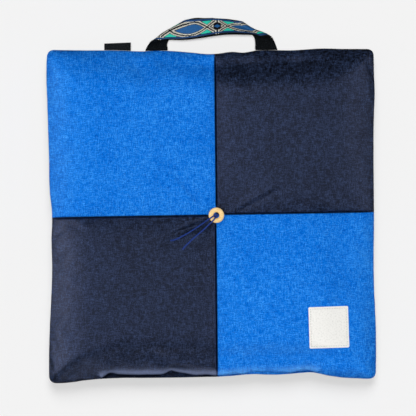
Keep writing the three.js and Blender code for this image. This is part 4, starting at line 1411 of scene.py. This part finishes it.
def twisted_thread(name):
    """Twisted blue polyester thread: tiny slanting plies that catch the light."""
    material, tree = start_material(name)
    place = add(tree, "TexCoord", {}, "Object")
    bands = math.pi / 10 / (PLY * MM)  # a Wave texture's scale for bands this far apart
    plies = {"Vector": place, "Scale": bands, "Distortion": PLY_UNEVEN}
    plies = add(tree, "TexWave", plies, "Fac", bands_direction="DIAGONAL")
    colour = coloured(add(tree, "ValToRGB", (plies,)), "#10224e", "#2548a6")
    finish = {"Base Color": colour, "Roughness": 0.55, "Specular IOR Level": 0.4}
    return finish_material(material, tree, finish, plies, PLY_RELIEF)


white_twill, pale_maple = patch_cloth(), ring_wood()
blue_thread = twisted_thread("blue_thread")
print(f"the ring is {pale_maple.name}, the patch {white_twill.name}, the tie {blue_thread.name}")

# %% [markdown]
# ## Panels and pieces
#
# Two of the panels are blue and two are navy, as is the back. Each piece then gets its material
# and takes the place of its plain solid.

# %% Materials of the pieces
pad.data.materials.clear()
pad.data.materials.append(navy_canvas)
pad.data.materials.append(blue_canvas)
corners_of_faces = corner_points(pad).reshape(-1, 4)
mid_across, mid_up, mid_side = (
    values_of(pad, label)[corners_of_faces].mean(axis=1) for label in ("across", "up", "side")
)
upright, level = seam_distances(mid_across, mid_up)
blue_panel = (upright * level < 0) & (mid_side > 0)
pad.data.polygons.foreach_set("material_index", blue_panel.astype(int))
pad.data.update()
for piece, material in (
    (webbing, black_webbing), (ribbon, jacquard_ribbon), (tag, black_tape),
    (patch, white_twill), (ring, pale_maple), (knot, blue_thread), (thread_a, blue_thread),
    (thread_b, blue_thread),
):
    piece.data.materials.append(material)

# %% Places of the pieces
for piece, node, slot in (
    (pad, "cushion", "pad_cloth"), (webbing, "handle_webbing", "webbing"),
    (ribbon, "handle_ribbon", "ribbon"), (tag, "side_tag", "tag_cloth"),
    (patch, "label_patch", "patch_cloth"), (ring, "ring", "ring_wood"),
    (knot, "tie_knot", "tie_thread"), (thread_a, "tie_end_a", "tie_thread"),
    (thread_b, "tie_end_b", "tie_thread"),
):
    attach(piece, "root")
    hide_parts(node)

# %% [markdown]
# ## Light and floor
#
# A soft light from straight above, near the camera, does most of the work, and its shine is
# left out so that the blue keeps its colour. A weak front light does shine, and that shows the
# navy cloth's form. One softbox on the left and a weaker one on the right bring out those
# margins, and two low lights, from the left and from below, catch the rolled rims. All of them
# are kept off the floor, as flags keep them off it in a studio. The floor has a light of its
# own, and a faint one from beyond the top edge lays the cushion's shadow below its lower edge.
# The floor is also kept out of the cloth's reflections, where it would grey the dark panels.

# %% World and floor
bpy.context.scene.view_settings.view_transform = "Standard"
world = bpy.data.worlds.new("studio")
bpy.context.scene.world = world
world.use_nodes = True
world.node_tree.nodes["Background"].inputs["Color"].default_value = (1, 1, 1, 1)
world.node_tree.nodes["Background"].inputs["Strength"].default_value = 0.04

bpy.ops.mesh.primitive_plane_add(size=60, location=(0, 0, -0.0002))
floor = bpy.context.active_object
floor.name = "floor"
floor_paint, floor_tree = start_material("pale_floor")
floor_finish = {"Base Color": linear("#f6f6f6"), "Roughness": 0.9, "Specular IOR Level": 0.0}
finish_material(floor_paint, floor_tree, floor_finish)
floor.data.materials.append(floor_paint)
floor.visible_glossy = False
floor.visible_diffuse = False


# %% Lights
def sun(name, strength, angle, toward, floor_state):
    """A soft light from far away that leaves the floor out, or lights nothing else."""
    data = bpy.data.lights.new(name, "SUN")
    data.energy = strength
    data.angle = math.radians(angle)
    lamp = bpy.data.objects.new(name, data)
    lamp.rotation_mode = "QUATERNION"
    lamp.rotation_quaternion = Vector(toward).to_track_quat("-Z", "Y")
    bpy.context.scene.collection.objects.link(lamp)
    flag = bpy.data.collections.new(name + "_flag")
    lamp.light_linking.receiver_collection = flag
    flag.objects.link(floor)
    flag.collection_objects[0].light_linking.link_state = floor_state
    return lamp


sun("on_floor", 2.13, 8, (0, 0, -1), "INCLUDE")
beyond = sun("beyond", 1.0, 35, (0, -0.75, -1), "INCLUDE")
blockers = bpy.data.collections.new("beyond_blockers")
beyond.light_linking.blocker_collection = blockers
blockers.objects.link(pad)
sun("above", 1.8, 20, (0, 0.03, -1), "EXCLUDE").visible_glossy = False
sun("front", 0.27, 20, (0, 0, -1), "EXCLUDE")
sun("left_box", 1.0, 60, (0.77, 0, -0.64), "EXCLUDE")
sun("left_rim", 0.9, 14, (1, 0, -0.04), "EXCLUDE")
sun("low_rim", 0.5, 12, (0, 1, -0.04), "EXCLUDE")
sun("right_box", 0.75, 50, (-0.866, 0, -0.5), "EXCLUDE")
print(f"the studio has {len(bpy.data.lights)} lights")
